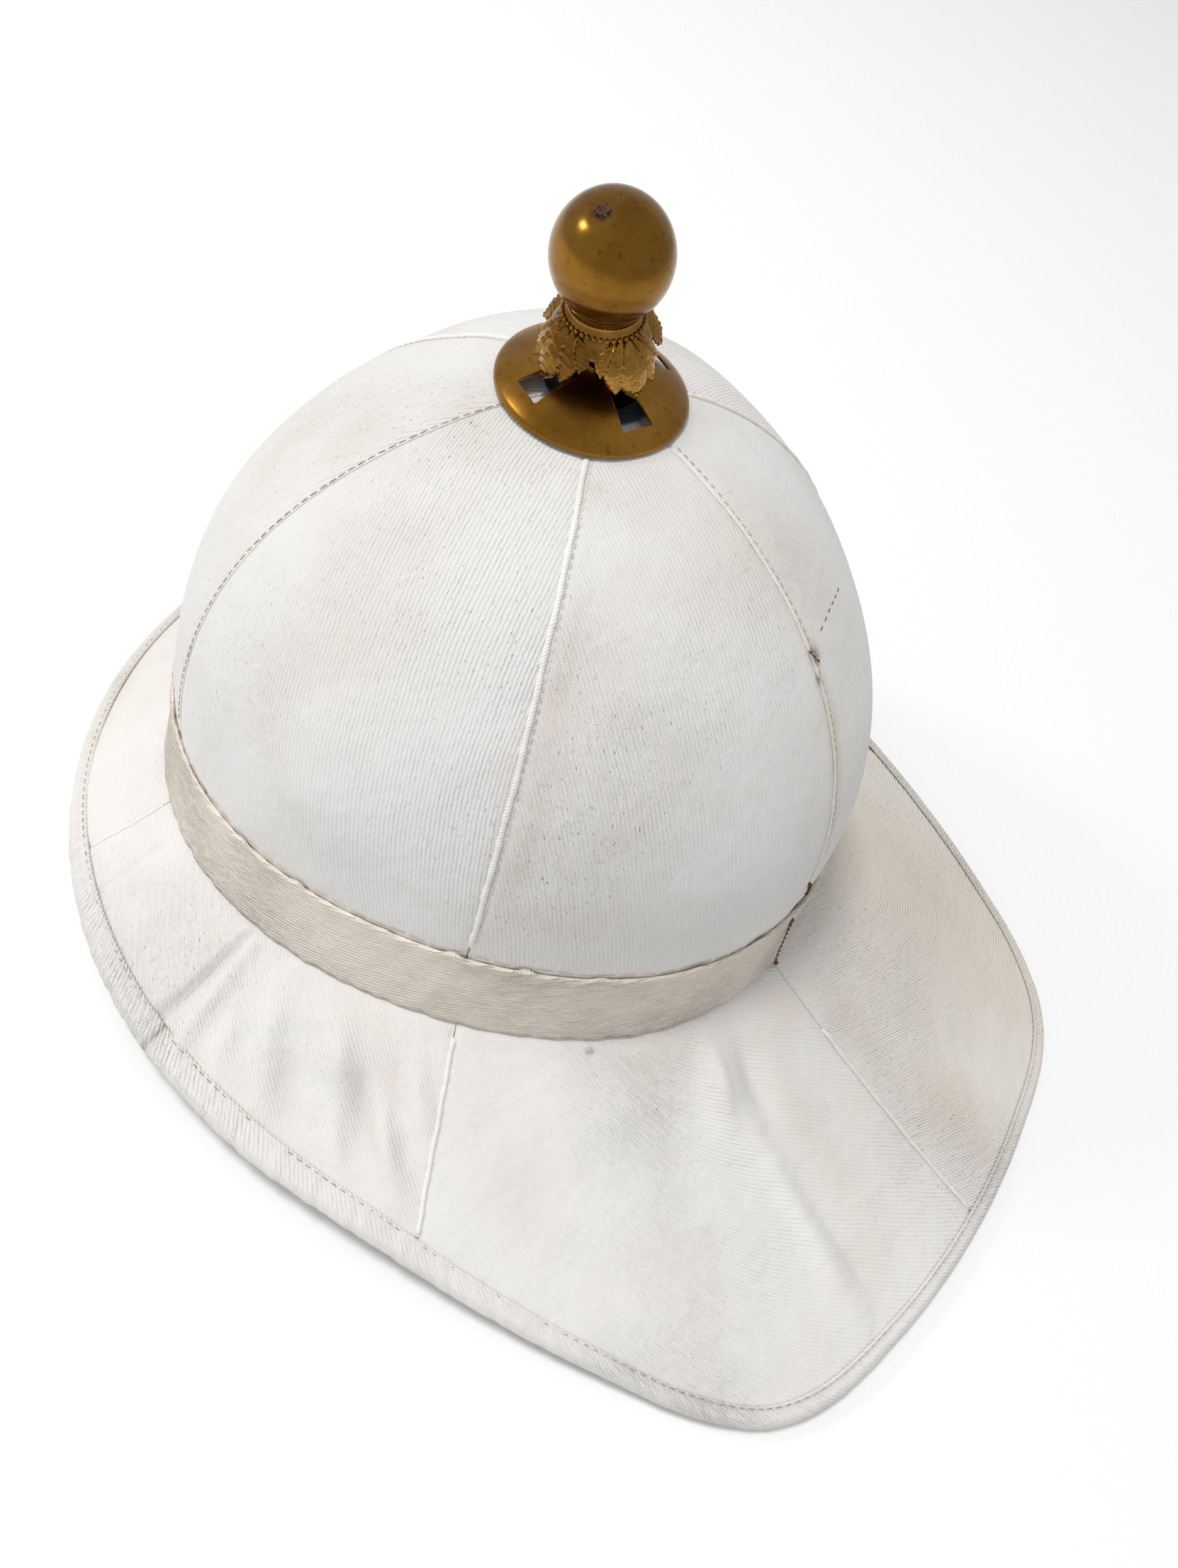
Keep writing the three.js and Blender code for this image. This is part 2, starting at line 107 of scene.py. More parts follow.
soft_lamp("ceiling_lamp", (-0.55, 0.70, 2.50), 0.5, 37.0, False)
soft_lamp("window_lamp", (-0.69, 1.20, 0.99), 0.24, 3.5, True)

# ---- the pith body ---------------------------------------------------------------------------------
# Sheets of pith pressed together over a block: a round crown, and a brim that runs out into a long
# neck guard at the back and a short peak at the front. It is hollow, and about 4 mm thick.
MM = 0.001
CROWN_RADIUS = 108.5
CROWN_EGG = 4.7
CROWN_OVAL = 1.4
CROWN_CORNER = 4.2
CROWN_HEIGHT = 119.0
CROWN_RISE = 2.23
CROWN_ROUND = 2.06
CROWN_FLARE = 3.5
BAND_HEIGHT = 34.0
BRIM_STEP = 2.0
BRIM_SAG = 0.06
EDGE_NOSE = 3.0
VENT_RADIUS = 13.0
DRILL_THICK = 0.9
SLIVER = 0.3
PITH_THICK = 4.0
SEAT_LEAN = (4.5, -75)
PULLED_OUT = 3.0


def table(columns, *rows):
    """Rows of numbers under named columns, in degrees, stations and millimetres."""
    return [dict(zip(columns.split(), row)) for row in rows]


BRIM_EDGE = table(
    "azimuth reach drop",
    (0, 233.5, 77),
    (12, 234.5, 76.8),
    (20, 236, 76.2),
    (25, 233, 75.2),
    (30, 223.5, 72.5),
    (38, 204, 68),
    (48, 185.5, 63.5),
    (60, 170.5, 59),
    (75, 161.5, 55.5),
    (90, 155.5, 53.5),
    (110, 149.5, 53),
    (135, 144, 54),
    (160, 141.5, 56),
    (180, 142, 57),
)

# Where the brim and crown have been knocked and have creased: azimuth and station of the middle,
# half width and half length in millimetres, how far the long way is turned, and the height.
DENTS = table(
    "azimuth station across along turn height",
    (-17, -0.17, 4.5, 11, -12, 4.6),
    (-11.5, -0.2, 4.5, 14, -8, -3.0),
    (-15, -0.36, 7, 14, 14, 1.3),
    (-14.5, -0.66, 4.2, 32, 4, 2.4),
    (-12, -0.74, 2.2, 22, 6, -1.5),
    (-8, -0.5, 9, 26, 10, 0.8),
    (-24, -0.8, 8, 12, 0, 0.8),
    (-22, -0.5, 8, 10, 50, 1.2),
    (-30, -0.2, 9, 9, 0, 1.0),
    (-34, -0.5, 26, 22, 0, 1.2),
    (-38, -0.75, 14, 14, 20, -0.8),
    (-69, -0.34, 5.5, 9, 35, 4.2),
    (-60, -0.62, 4.5, 11, 30, 4.2),
    (-66, -0.68, 3, 9, 30, 1.6),
    (-79, -0.4, 4, 12, 30, 1.8),
    (-83, -0.66, 3.5, 10, 15, 1.4),
    (-57.5, -0.34, 4, 9, 20, 2.2),
    (-64, -0.5, 4.5, 12, 30, -2.6),
    (-74, -0.62, 6, 12, 25, -2.4),
    (-91, -0.5, 1.5, 22, -4, -2.6),
    (-88, -0.5, 2.4, 20, 5, 2.4),
    (-111, -0.6, 1.5, 18, 4, -0.7),
    (-130, -0.4, 20, 14, 0, 1.2),
    (25, -0.5, 24, 22, 0, 1.2),
    (8, -0.35, 10, 20, -10, -0.9),
    (60, -0.5, 18, 16, 0, -0.9),
    (110, -0.5, 16, 13, 10, 0.9),
    (160, -0.5, 18, 12, 0, -0.7),
    (-75, 1.25, 30, 26, 0, 0.9),
    (-20, 1.5, 22, 26, 12, 0.7),
    (-30, 1.15, 18, 16, 0, -0.6),
    (-100, 1.12, 10, 12, 30, -0.7),
    (30, 1.5, 26, 22, 0, -0.9),
    (120, 1.4, 30, 30, 0, 1.0),
    (-160, 1.7, 44, 40, 0, -2.3),
)


def band_radius(azimuth):
    ripple = CROWN_OVAL * np.cos(2 * azimuth) + CROWN_CORNER * np.cos(3 * azimuth)
    return CROWN_RADIUS + CROWN_EGG * np.cos(azimuth) + ripple


def edge_value(azimuth, column):
    """A smooth reading of one column of BRIM_EDGE, level at both ends of the table."""
    at = np.array([row["azimuth"] for row in BRIM_EDGE], float)
    value = np.array([row[column] for row in BRIM_EDGE], float)
    slope = np.zeros(len(at))
    slope[1:-1] = (value[2:] - value[:-2]) / (at[2:] - at[:-2])
    turned = np.degrees(np.abs((azimuth + np.pi) % (2 * np.pi) - np.pi))
    i = np.clip(np.searchsorted(at, turned) - 1, 0, len(at) - 2)
    width = at[i + 1] - at[i]
    t = (turned - at[i]) / width
    start = (1 + 2 * t) * (1 - t) ** 2 * value[i] + t * (1 - t) ** 2 * width * slope[i]
    end = t * t * (3 - 2 * t) * value[i + 1] + t * t * (t - 1) * width * slope[i + 1]
    return start + end


def outward(azimuth, radius, height):
    return np.stack([radius * np.sin(azimuth), -radius * np.cos(azimuth), height], axis=-1)


def outer_face(azimuth, station):
    """The cloth's outer face. Station -1 is the brim's edge, 0 its root, 1 the band's top, 2 the vent."""
    azimuth, station = np.broadcast_arrays(np.asarray(azimuth, float), np.asarray(station, float))
    top = band_radius(azimuth)
    root = top + CROWN_FLARE + BRIM_STEP
    u = np.clip(-station, 0, 1)
    right_corner = ((azimuth - math.radians(40) + np.pi) % (2 * np.pi) - np.pi) / 0.35
    edge = edge_value(azimuth, "reach") - EDGE_NOSE + PULLED_OUT * np.exp(-(right_corner**2))
    fall = edge_value(azimuth, "drop") - BAND_HEIGHT
    sunk = fall * (u + BRIM_SAG * np.sin(np.pi * u))
    brim = outward(azimuth, root + (edge - root) * u, -BAND_HEIGHT - sunk)
    depth = np.clip(1 - station, 0, 1)
    wall = outward(azimuth, top + CROWN_FLARE * depth**1.5, -BAND_HEIGHT * depth)
    mouth = np.arccos((VENT_RADIUS / top) ** (CROWN_ROUND / 2))
    rise = np.clip(station - 1, 0, 1)
    radius = top * np.cos(rise * mouth) ** (2 / CROWN_ROUND)
    degrees, towards = SEAT_LEAN
    sunken = radius * np.cos(azimuth - math.radians(towards)) * math.tan(math.radians(degrees)) * rise**3
    dome = outward(azimuth, radius, CROWN_HEIGHT * np.sin(rise * mouth) ** (2 / CROWN_RISE) - sunken)
    return np.where(station[..., None] <= 0, brim, np.where(station[..., None] <= 1, wall, dome))


def face_normal(azimuth, station):
    step = 0.004
    low = outer_face(azimuth, np.clip(station - step, -1, 2))
    high = outer_face(azimuth, np.clip(station + step, -1, 2))
    normal = np.cross(outer_face(azimuth + step, station) - outer_face(azimuth - step, station), high - low)
    return normal / np.linalg.norm(normal, axis=-1, keepdims=True)


def nearness(azimuth, station, spot):
    """How much a spot of the tables is felt at each point, from 0 to 1."""
    middle = math.radians(spot["azimuth"])
    radius = float(np.hypot(*outer_face(middle, spot["station"])[:2]))
    if spot["station"] > 1:
        length = 170.0
    elif spot["station"] > 0:
        length = BAND_HEIGHT
    else:
        length = float(np.linalg.norm(outer_face(middle, -1.0) - outer_face(middle, 0.0)))
    x = ((azimuth - middle + np.pi) % (2 * np.pi) - np.pi) * radius
    y = (station - spot["station"]) * length
    turn = math.radians(spot["turn"])
    across = (x * math.cos(turn) + y * math.sin(turn)) / spot["across"]
    along = (y * math.cos(turn) - x * math.sin(turn)) / spot["along"]
    return np.exp(-(across**2) - along**2)


def knocked(azimuth, station):
    """How far the worn surface stands off the moulded one, in millimetres."""
    height = 0.25 * np.sin(5 * azimuth + 3 * station) * np.sin(4 * station + 2 * azimuth)
    height = height + 0.15 * np.sin(11 * azimuth - 7 * station + 1)
    for dent in DENTS:
        height = height + dent["height"] * nearness(azimuth, station, dent)
    at_edge = np.clip((station + 1) / 0.12, 0, 1)
    at_root = np.clip(np.abs(station) / 0.06, 0, 1)
    on_wall = np.where((station > 0) & (station < 1), 0.3, 1.0)
    at_vent = np.clip((2 - station) / 0.25, 0, 1)
    at_band = np.where(station >= 1, np.clip(0.3 + (station - 1) / 0.12, 0, 1), 1.0)
    return height * at_edge * at_root * on_wall * at_vent * at_band


FLOOR_SLOPE = 0.056354
STANDS_AT = (0.0, 49.788, 69.492)
standing = Matrix.Translation(Vector(STANDS_AT) * MM) @ Matrix.Rotation(-math.atan(FLOOR_SLOPE), 4, "X")


def stood(points):
    """Points of the upright helmet, in millimetres, as it stands on the table, in metres."""
    return points * MM @ np.array(standing.to_3x3()).T + np.array(standing.translation)


def worn_face(azimuth, station, depth=0.0):
    """Points a given depth below the worn cloth's outer face, standing on the table."""
    azimuth, station, depth = np.broadcast_arrays(azimuth, station, depth)
    lift = knocked(azimuth, station) - depth
    return stood(outer_face(azimuth, station) + face_normal(azimuth, station) * lift[..., None])


def mesh_piece(name, points, faces):
    """A new piece at the origin with smooth faces."""
    mesh = bpy.data.meshes.new(name)
    mesh.from_pydata(points.reshape(-1, 3).tolist(), [], faces)
    mesh.update()
    piece = bpy.data.objects.new(name, mesh)
    bpy.context.scene.collection.objects.link(piece)
    mesh.shade_smooth()
    return piece


def grid_faces(columns, rows, ring=False, start=0):
    """Quads between (columns + 1) x (rows + 1) points, or columns x (rows + 1) in a ring."""
    across = columns if ring else columns + 1
    i, j = np.meshgrid(np.arange(columns), np.arange(rows), indexing="ij")
    here = i * (rows + 1) + j
    there = (i + 1) % across * (rows + 1) + j
    quads = np.stack([here, there, there + 1, here + 1], -1)
    return (quads.reshape(-1, 4) + start).tolist()


def shader(name):
    """A new material with its tree and its shader node."""
    material = bpy.data.materials.new(name)
    material.use_nodes = True
    return material, material.node_tree, material.node_tree.nodes["Principled BSDF"]


def node(tree, kind, **settings):
    """A new node, with its inputs set by name and its properties by a leading underscore."""
    made = tree.nodes.new(kind)
    for key, value in settings.items():
        if key.startswith("_"):
            setattr(made, key[1:], value)
        else:
            slot = made.inputs[int(key[2:])] if key.startswith("in") else made.inputs[key.replace("_", " ")]
            if isinstance(value, bpy.types.NodeSocket):
                tree.links.new(value, slot)
            else:
                slot.default_value = value
    return made


def own_place(tree):
    """The piece's own coordinates, in metres."""
    return node(tree, "ShaderNodeTexCoord").outputs["Object"]


def noise(tree, vector, scale, detail=2.0, roughness=0.5):
    made = node(tree, "ShaderNodeTexNoise", Vector=vector, Scale=scale, Detail=detail, Roughness=roughness)
    return made.outputs["Fac"]


def maths(tree, operation, first, second=None):
    settings = {"_operation": operation, "in0": first}
    if second is not None:
        settings["in1"] = second
    return node(tree, "ShaderNodeMath", **settings).outputs[0]


def times(tree, first, second):
    return maths(tree, "MULTIPLY", first, second)


def plus(tree, first, second):
    return maths(tree, "ADD", first, second)


def mapped(tree, vector, **settings):
    return node(tree, "ShaderNodeMapping", Vector=vector, **settings).outputs[0]


def bump(tree, height, strength, distance, **below):
    made = node(tree, "ShaderNodeBump", Height=height, Strength=strength, Distance=distance, **below)
    return made.outputs[0]


def blend(tree, amount, first, second):
    """One colour mixed into another."""
    made = tree.nodes.new("ShaderNodeMix")
    made.data_type = "RGBA"
    for index, value in ((0, amount), (6, first), (7, second)):
        if isinstance(value, bpy.types.NodeSocket):
            tree.links.new(value, made.inputs[index])
        else:
            made.inputs[index].default_value = value if index == 0 else (*value, 1)
    return made.outputs[2]


def stretch(tree, value, low, high):
    """A value carried from low..high to 0..1 and held there."""
    made = node(tree, "ShaderNodeMapRange", Value=value, From_Min=low, From_Max=high)
    return made.outputs["Result"]


def dressed(piece, material, slot, *stands_for):
    """Gives a piece its finish, attaches it to the root, and hides the CAD nodes it stands for, if any."""
    piece.data.materials.clear()
    piece.data.materials.append(material)
    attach(piece, "root")
    if stands_for:
        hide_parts(*stands_for)


pith, tree, surface = shader("bare_pith")
place = own_place(tree)
cells = noise(tree, place, 900.0, 3.0)
bands = noise(tree, place, 35.0, 4.0)
tree.links.new(blend(tree, bands, (0.60, 0.49, 0.30), (0.76, 0.67, 0.47)), surface.inputs["Base Color"])
surface.inputs["Roughness"].default_value = 0.95
tree.links.new(bump(tree, cells, 0.5, 0.0004), surface.inputs["Normal"])

PITH_COLUMNS = 240
stations = np.concatenate([np.linspace(-1, -0.02, 34), np.linspace(0.05, 0.97, 8), np.linspace(1, 2, 52)])
around = np.linspace(0, 2 * np.pi, PITH_COLUMNS, endpoint=False)
around, up = np.meshgrid(around, stations, indexing="ij")
lowest = np.min([knocked(around + aside, up) for aside in np.radians([-1.4, -0.7, 0.0, 0.7, 1.4])], axis=0)
cover = DRILL_THICK + SLIVER + knocked(around, up) - lowest
shell = np.concatenate([worn_face(around, up, cover), worn_face(around, up, cover + PITH_THICK)])
rows = len(stations) - 1
faces = grid_faces(PITH_COLUMNS, rows, ring=True)
inner = PITH_COLUMNS * (rows + 1)
faces += [face[::-1] for face in grid_faces(PITH_COLUMNS, rows, ring=True, start=inner)]
for i in range(PITH_COLUMNS):
    here, there = i * (rows + 1), (i + 1) % PITH_COLUMNS * (rows + 1)
    faces.append([here, inner + here, inner + there, there])
    faces.append([here + rows, there + rows, inner + there + rows, inner + here + rows])
pith_body = mesh_piece("pith_body", shell, faces)
dressed(pith_body, pith, "pith", "pith_shell")

# ---- the crown's cloth -----------------------------------------------------------------------------
# Six gores of heavy white cotton drill, stretched and glued over the pith and seamed from the band to
# the vent. The steep twill ribs lean the same way in each gore, so they meet at an angle at the seams.
SEAMS = [0, 56, 118, 180, 242, 304]
GORES = len(SEAMS)

# What has marked the cloth: tan sweat and dust, grey dirt, and rust brown, with painted shade among them:
# grey on the shaded flanks of the brim's folds, and tan on the crown's lit upper left. The columns are as in
# DENTS.
TAN = table(
    "azimuth station across along turn height",
    # These two wide patches are partly painted shade, toning down the crown's lit upper left.
    (-140, 1.6, 40, 40, 0, 0.3),
    (-100, 1.55, 34, 30, 0, 0.16),
    (-128, 1.66, 12, 16, 10, 0.6),
    (-118, 1.86, 12, 12, 0, 0.4),
    (-2, 1.76, 20, 22, 0, 0.42),
    (12, 1.66, 14, 26, 0, 0.4),
    (-22, 1.86, 14, 10, 0, 0.3),
    (-52, 1.55, 3, 20, -4, 0.42),
    (-52, 1.25, 2.6, 22, -4, 0.5),
    (0.5, 1.42, 2.6, 46, 0, 0.85),
    (-49, 1.87, 5, 5, 0, 0.4),
    (32, -0.5, 62, 90, 0, 0.95),
    (75, -0.5, 80, 80, 0, 0.8),
    (120, -0.5, 80, 80, 0, 0.6),
    (180, -0.5, 90, 80, 0, 0.45),
    (6, -0.3, 12, 24, 0, 0.5),
    (9, -0.75, 22, 34, 0, 0.7),
    (-9, -0.45, 10, 30, 0, 0.5),
    (-11, -0.8, 12, 12, 0, 0.45),
    (-3, -0.12, 26, 10, 0, 0.5),
    (-18, -0.05, 20, 5, 0, 0.35),
    (-150, -0.5, 40, 30, 0, 0.16),
)
PINK = table(
    "azimuth station across along turn height",
    (-62, -0.58, 9, 12, 0, 0.5),
    (-61, -0.34, 7, 8, 0, 0.5),
    (-45, -0.5, 12, 16, 0, 0.5),
    (-50, -0.3, 8, 14, 0, 0.35),
    (-53, 1.4, 6, 26, -4, 0.4),
    (-32, 1.92, 10, 6, 0, 0.5),
)
GREY_DIRT_AND_SHADE = table(
    "azimuth station across along turn height",
    (-100, 1.1, 22, 16, 0, 0.35),
    (-82, 1.12, 24, 16, 0, 0.4),
    (-25, 1.1, 34, 20, 0, 0.45),
    (0, 1.15, 26, 30, 0, 0.4),
    (18, -0.42, 26, 18, 0, 0.35),
    (4, -0.2, 20, 12, 0, 0.35),
    (-75, -0.3, 26, 14, 0, 0.2),
    # From here down: painted shade, grey laid on the shaded flanks of the brim's ridges and in its fold.
    (-13.5, -0.2, 3, 12, -12, 0.7),
    (-11.8, -0.68, 2, 28, 6, 0.3),
    (-64, -0.5, 4, 12, 30, 0.6),
    (-74, -0.62, 5, 12, 25, 0.6),
    (-91.3, -0.5, 1.8, 24, -4, 1.0),
)
RUST = table(
    "azimuth station across along turn height",
    (1, 1.54, 2.2, 2.4, 0, 0.9),
    (-0.5, 1.5, 1.2, 1.6, 0, 0.8),
    (-34, -0.02, 1.2, 0.9, 0, 0.9),
    (-90, -0.98, 1.0, 2.6, 20, 0.8),
)


def soiling_and_shade(stains, azimuth, station):
    amount = np.zeros(np.shape(azimuth))
    for stain in stains:
        amount = np.maximum(amount, stain["height"] * nearness(azimuth, station, stain))
    return amount


def soil_and_shade(piece, azimuth, station):
    """Writes the stains and painted shade of the tables onto a piece, a number at each point for each kind.
    """
    for name, stains in (("tan", TAN), ("pink", PINK), ("grey", GREY_DIRT_AND_SHADE), ("rust", RUST)):
        layer = piece.data.attributes.new(name, "FLOAT", "POINT")
        layer.data.foreach_set("value", soiling_and_shade(stains, azimuth, station).ravel())


def lay_out(piece, cut, around=0.0):
    """Gives a piece the map that its weave follows: each point's place on the flat cloth, in metres.
    around is the length of a closed ring of cloth, whose last face ends where its first one starts."""
    layer = piece.data.uv_layers.new(name="cut")
    corner = np.empty(len(piece.data.loops), int)
    piece.data.loops.foreach_get("vertex_index", corner)
    place = (cut.reshape(-1, 2) * MM)[corner]
    if around:
        quads = place.reshape(-1, 4, 2)
        wraps = np.ptp(quads[..., 0], axis=1) > around * MM / 2
        quads[..., 0] += (wraps[:, None] & (quads[..., 0] < around * MM / 2)) * around * MM
    layer.data.foreach_set("uv", place.ravel())


def drill(name, clean, soiled_and_shaded, lean, pitch, relief, flecks, crumpled):
    """Cotton drill, its rib grooves darkened with painted shade. lean is how far the ribs turn from the warp,
    and pitch their spacing in millimetres.
    """
    material, tree, surface = shader(name)
    cut = node(tree, "ShaderNodeUVMap", _uv_map="cut").outputs["UV"]
    place = own_place(tree)
    drift = times(tree, maths(tree, "SUBTRACT", noise(tree, cut, 22.0, 2.0), 0.5), 0.003)
    bent = node(tree, "ShaderNodeCombineXYZ", X=drift).outputs[0]
    turned = mapped(tree, cut, Rotation=(0, 0, math.radians(lean)))
    sway = node(tree, "ShaderNodeVectorMath", in0=turned, in1=bent).outputs[0]
    ribs = {"Scale": math.pi / 10 / (pitch * MM), "Distortion": 1.5}
    rib = node(tree, "ShaderNodeTexWave", Vector=sway, Detail=3.0, Detail_Scale=2.6, **ribs).outputs["Fac"]
    ribs["Scale"] *= 1.9
    thread = mapped(tree, sway, Rotation=(0, 0, math.radians(62)))
    cross = node(tree, "ShaderNodeTexWave", Vector=thread, **ribs).outputs["Fac"]
    slub = noise(tree, mapped(tree, sway, Scale=(1.0, 0.16, 1.0)), 900.0, 2.0, 0.6)
    speck = noise(tree, mapped(tree, sway, Scale=(1.0, 0.3, 1.0)), 1900.0, 1.0, 0.4)
    cloudy = noise(tree, place, 26.0, 4.0, 0.55)
    worn = stretch(tree, noise(tree, place, 11.0, 3.0), 0.38, 0.62)
    relief_here = times(tree, plus(tree, times(tree, worn, 0.55), 0.45), relief)

    woven = times(tree, rib, plus(tree, times(tree, cross, 0.3), 0.7))
    height = plus(tree, woven, times(tree, slub, 1.5))
    creased = bump(tree, noise(tree, place, 48.0, 3.0, 0.45), crumpled, 0.004)
    felted = bump(tree, noise(tree, place, 240.0, 3.0), 0.5, 0.0006, Normal=creased)
    tree.links.new(bump(tree, height, relief_here, 0.00035, Normal=felted), surface.inputs["Normal"])

    tan, pink, grey, rust = (
        node(tree, "ShaderNodeAttribute", _attribute_name=kind).outputs["Fac"]
        for kind in ("tan", "pink", "grey", "rust")
    )
    colour = blend(tree, times(tree, stretch(tree, cloudy, 0.45, 0.8), 0.35), clean, soiled_and_shaded)
    broken = plus(tree, times(tree, stretch(tree, cloudy, 0.25, 0.7), 0.3), 0.72)
    # Tan stains, and on the crown's upper left painted shade.
    colour = blend(tree, times(tree, tan, broken), colour, soiled_and_shaded)
    colour = blend(tree, times(tree, pink, 0.35), colour, (0.60, 0.42, 0.36))
    # Grey dirt, and painted shade along the flanks of the brim's folds.
    colour = blend(tree, times(tree, grey, 0.35), colour, (0.40, 0.40, 0.39))
    # Painted shade: the grooves between the ribs are darkened.
    groove = times(tree, maths(tree, "SUBTRACT", 1.0, rib), times(tree, relief_here, 0.16))
    colour = blend(tree, groove, colour, (0.38, 0.35, 0.31))
    dark = times(tree, stretch(tree, speck, 0.67, 0.76), times(tree, worn, flecks))
    colour = blend(tree, dark, colour, (0.30, 0.27, 0.24))
    rusty = times(tree, rust, stretch(tree, slub, 0.2, 0.6))
    colour = blend(tree, rusty, colour, (0.11, 0.045, 0.018))
    tree.links.new(colour, surface.inputs["Base Color"])
    surface.inputs["Roughness"].default_value = 0.88
    surface.inputs["Specular IOR Level"].default_value = 0.25
    surface.inputs["Sheen Weight"].default_value = 0.15
    surface.inputs["Sheen Roughness"].default_value = 0.5
    return material


WHITE = (0.755, 0.745, 0.73)
SOILED_AND_SHADED = (0.60, 0.54, 0.455)
CROWN_LEAN = -12
crown_drill = drill("crown_drill", WHITE, SOILED_AND_SHADED, CROWN_LEAN, 1.16, 0.72, 1.0, 0.4)

PANEL_COLUMNS = 64
TUCK = 0.45
TUCK_REACH = 1.6


def wall_up(piece, thickness):
    """Gives a sheet its thickness on the inner side."""
    bpy.context.view_layer.objects.active = piece
    solid = piece.modifiers.new("thickness", "SOLIDIFY")
    solid.thickness = thickness * MM
    solid.offset = -1
    bpy.ops.object.modifier_apply(modifier=solid.name)


def flat_cut(azimuth, station, middle):
    """Each point's place on the flat panel: across from the panel's middle line, and up along it."""
    face = outer_face(azimuth, station)
    across = np.hypot(face[..., 0], face[..., 1]) * (azimuth - middle)
    steps = np.linalg.norm(np.diff(face, axis=1), axis=-1)
    up = np.concatenate([np.zeros((len(face), 1)), np.cumsum(steps, axis=1)], axis=1)
    return np.stack([across, up], axis=-1)


def panel(name, stands_for, index, seams, stations, columns, cloth, slot):
    """A cloth panel between two seams, whose side edges tuck down into the seams."""
    start = math.radians(seams[index])
    end = math.radians(seams[index + 1] if index + 1 < GORES else 360 + seams[0])
    share = np.linspace(0, 1, columns + 1)
    share = share - 0.1 * np.sin(2 * np.pi * share)
    plain, up = np.meshgrid(start + (end - start) * share, stations, indexing="ij")
    face = outer_face(plain, up)
    radius = np.hypot(face[..., 0], face[..., 1])
    inset = SLIVER / 2 / radius
    azimuth = np.clip(plain, start + inset, end - inset)
    beside = np.minimum(azimuth - start, end - azimuth) * radius
    depth = TUCK * np.exp(-((beside / TUCK_REACH) ** 2))
    points = worn_face(azimuth, up, depth)
    piece = mesh_piece(name, points, grid_faces(columns, len(stations) - 1))
    cut = flat_cut(azimuth, up, (start + end) / 2)
    lay_out(piece, cut)
    soil_and_shade(piece, azimuth, up)
    wall_up(piece, DRILL_THICK)
    dressed(piece, cloth, slot, stands_for)


stations = np.concatenate([np.linspace(0.06, 0.96, 6), np.linspace(1, 2, 104)])
for index in range(GORES):
    names = (f"crown_panel_{index + 1}", f"crown_gore_{index + 1}")
    panel(*names, index, SEAMS, stations, PANEL_COLUMNS, crown_drill, "crown_cloth")

# ---- the brim's cloth ------------------------------------------------------------------------------
# Six more panels of the same drill, cut on a stronger slant and seamed in line with the crown's gores.
# Dust and hands have turned the right side tan, and the glue has let go where the brim was knocked.
brim_drill = drill("brim_drill", (0.80, 0.785, 0.765), (0.67, 0.60, 0.505), -56, 1.1, 0.85, 1.0, 0.55)
BRIM_SEAMS = [1.4, 56, 118, 180, 242, 305.4]
stations = np.concatenate([np.linspace(-1, -0.012, 88), [0, 0.012, 0.03]])
for index in range(GORES):
    names = (f"brim_cover_{index + 1}", f"brim_panel_{index + 1}")
    columns = 150 if index in (0, GORES - 2, GORES - 1) else 90
    panel(*names, index, BRIM_SEAMS, stations, columns, brim_drill, "brim_cloth")

# ---- the seam welts --------------------------------------------------------------------------------
# A narrow folded strip of drill is caught in each seam and stands up as a fine cord. On the brim it
# starts under the band and runs out under the binding. One crown seam has lost most of its strip.
SEAM_LOOKS = table(
    "seam crown_width crown_height brim_width brim_height brim_top",
    (0, 1.2, 0.2, 1.6, 0.75, -0.24),
    (1, 1.5, 0.5, 1.5, 0.6, -0.04),
    (2, 1.5, 0.5, 1.5, 0.6, -0.04),
    (3, 1.5, 0.5, 1.5, 0.6, -0.04),
    (4, 1.0, 0.05, 0.9, -0.1, -0.04),
    (5, 1.8, 0.6, 1.7, 0.65, -0.04),
)
BINDING_NARROW = 3.6
BINDING_WORN = 3.6


def wear(azimuth):
    """How worn the binding is round the edge: 1 amid the left side, and nothing on the right."""
    return np.exp(-(((azimuth - math.radians(280) + np.pi) % (2 * np.pi) - np.pi) / 0.75) ** 2)


def brim_place(azimuth, inwards):
    """The station of a point some millimetres in from the brim's edge."""
    length = np.linalg.norm(outer_face(azimuth, -1.0) - outer_face(azimuth, 0.0), axis=-1)
    return -1 + inwards / length


welt_drill = drill("welt_drill", (0.83, 0.815, 0.79), (0.66, 0.60, 0.51), 70, 0.9, 0.5, 0.2, 0.0)


def run_along(line):
    """How far along a line each of its points is, in millimetres."""
    return np.concatenate([[0], np.cumsum(np.linalg.norm(np.diff(line, axis=0), axis=-1))])


def tube_faces(columns, size, closed=False, start=0):
    """Quads round a tube of rings of points, which may run right round the hat and meet itself."""
    faces = []
    for i in range(columns if closed else columns - 1):
        here = start + i * size
        there = start + (i + 1) % columns * size
        for k in range(size):
            after = (k + 1) % size
            faces.append([here + k, here + after, there + after, there + k])
    return faces


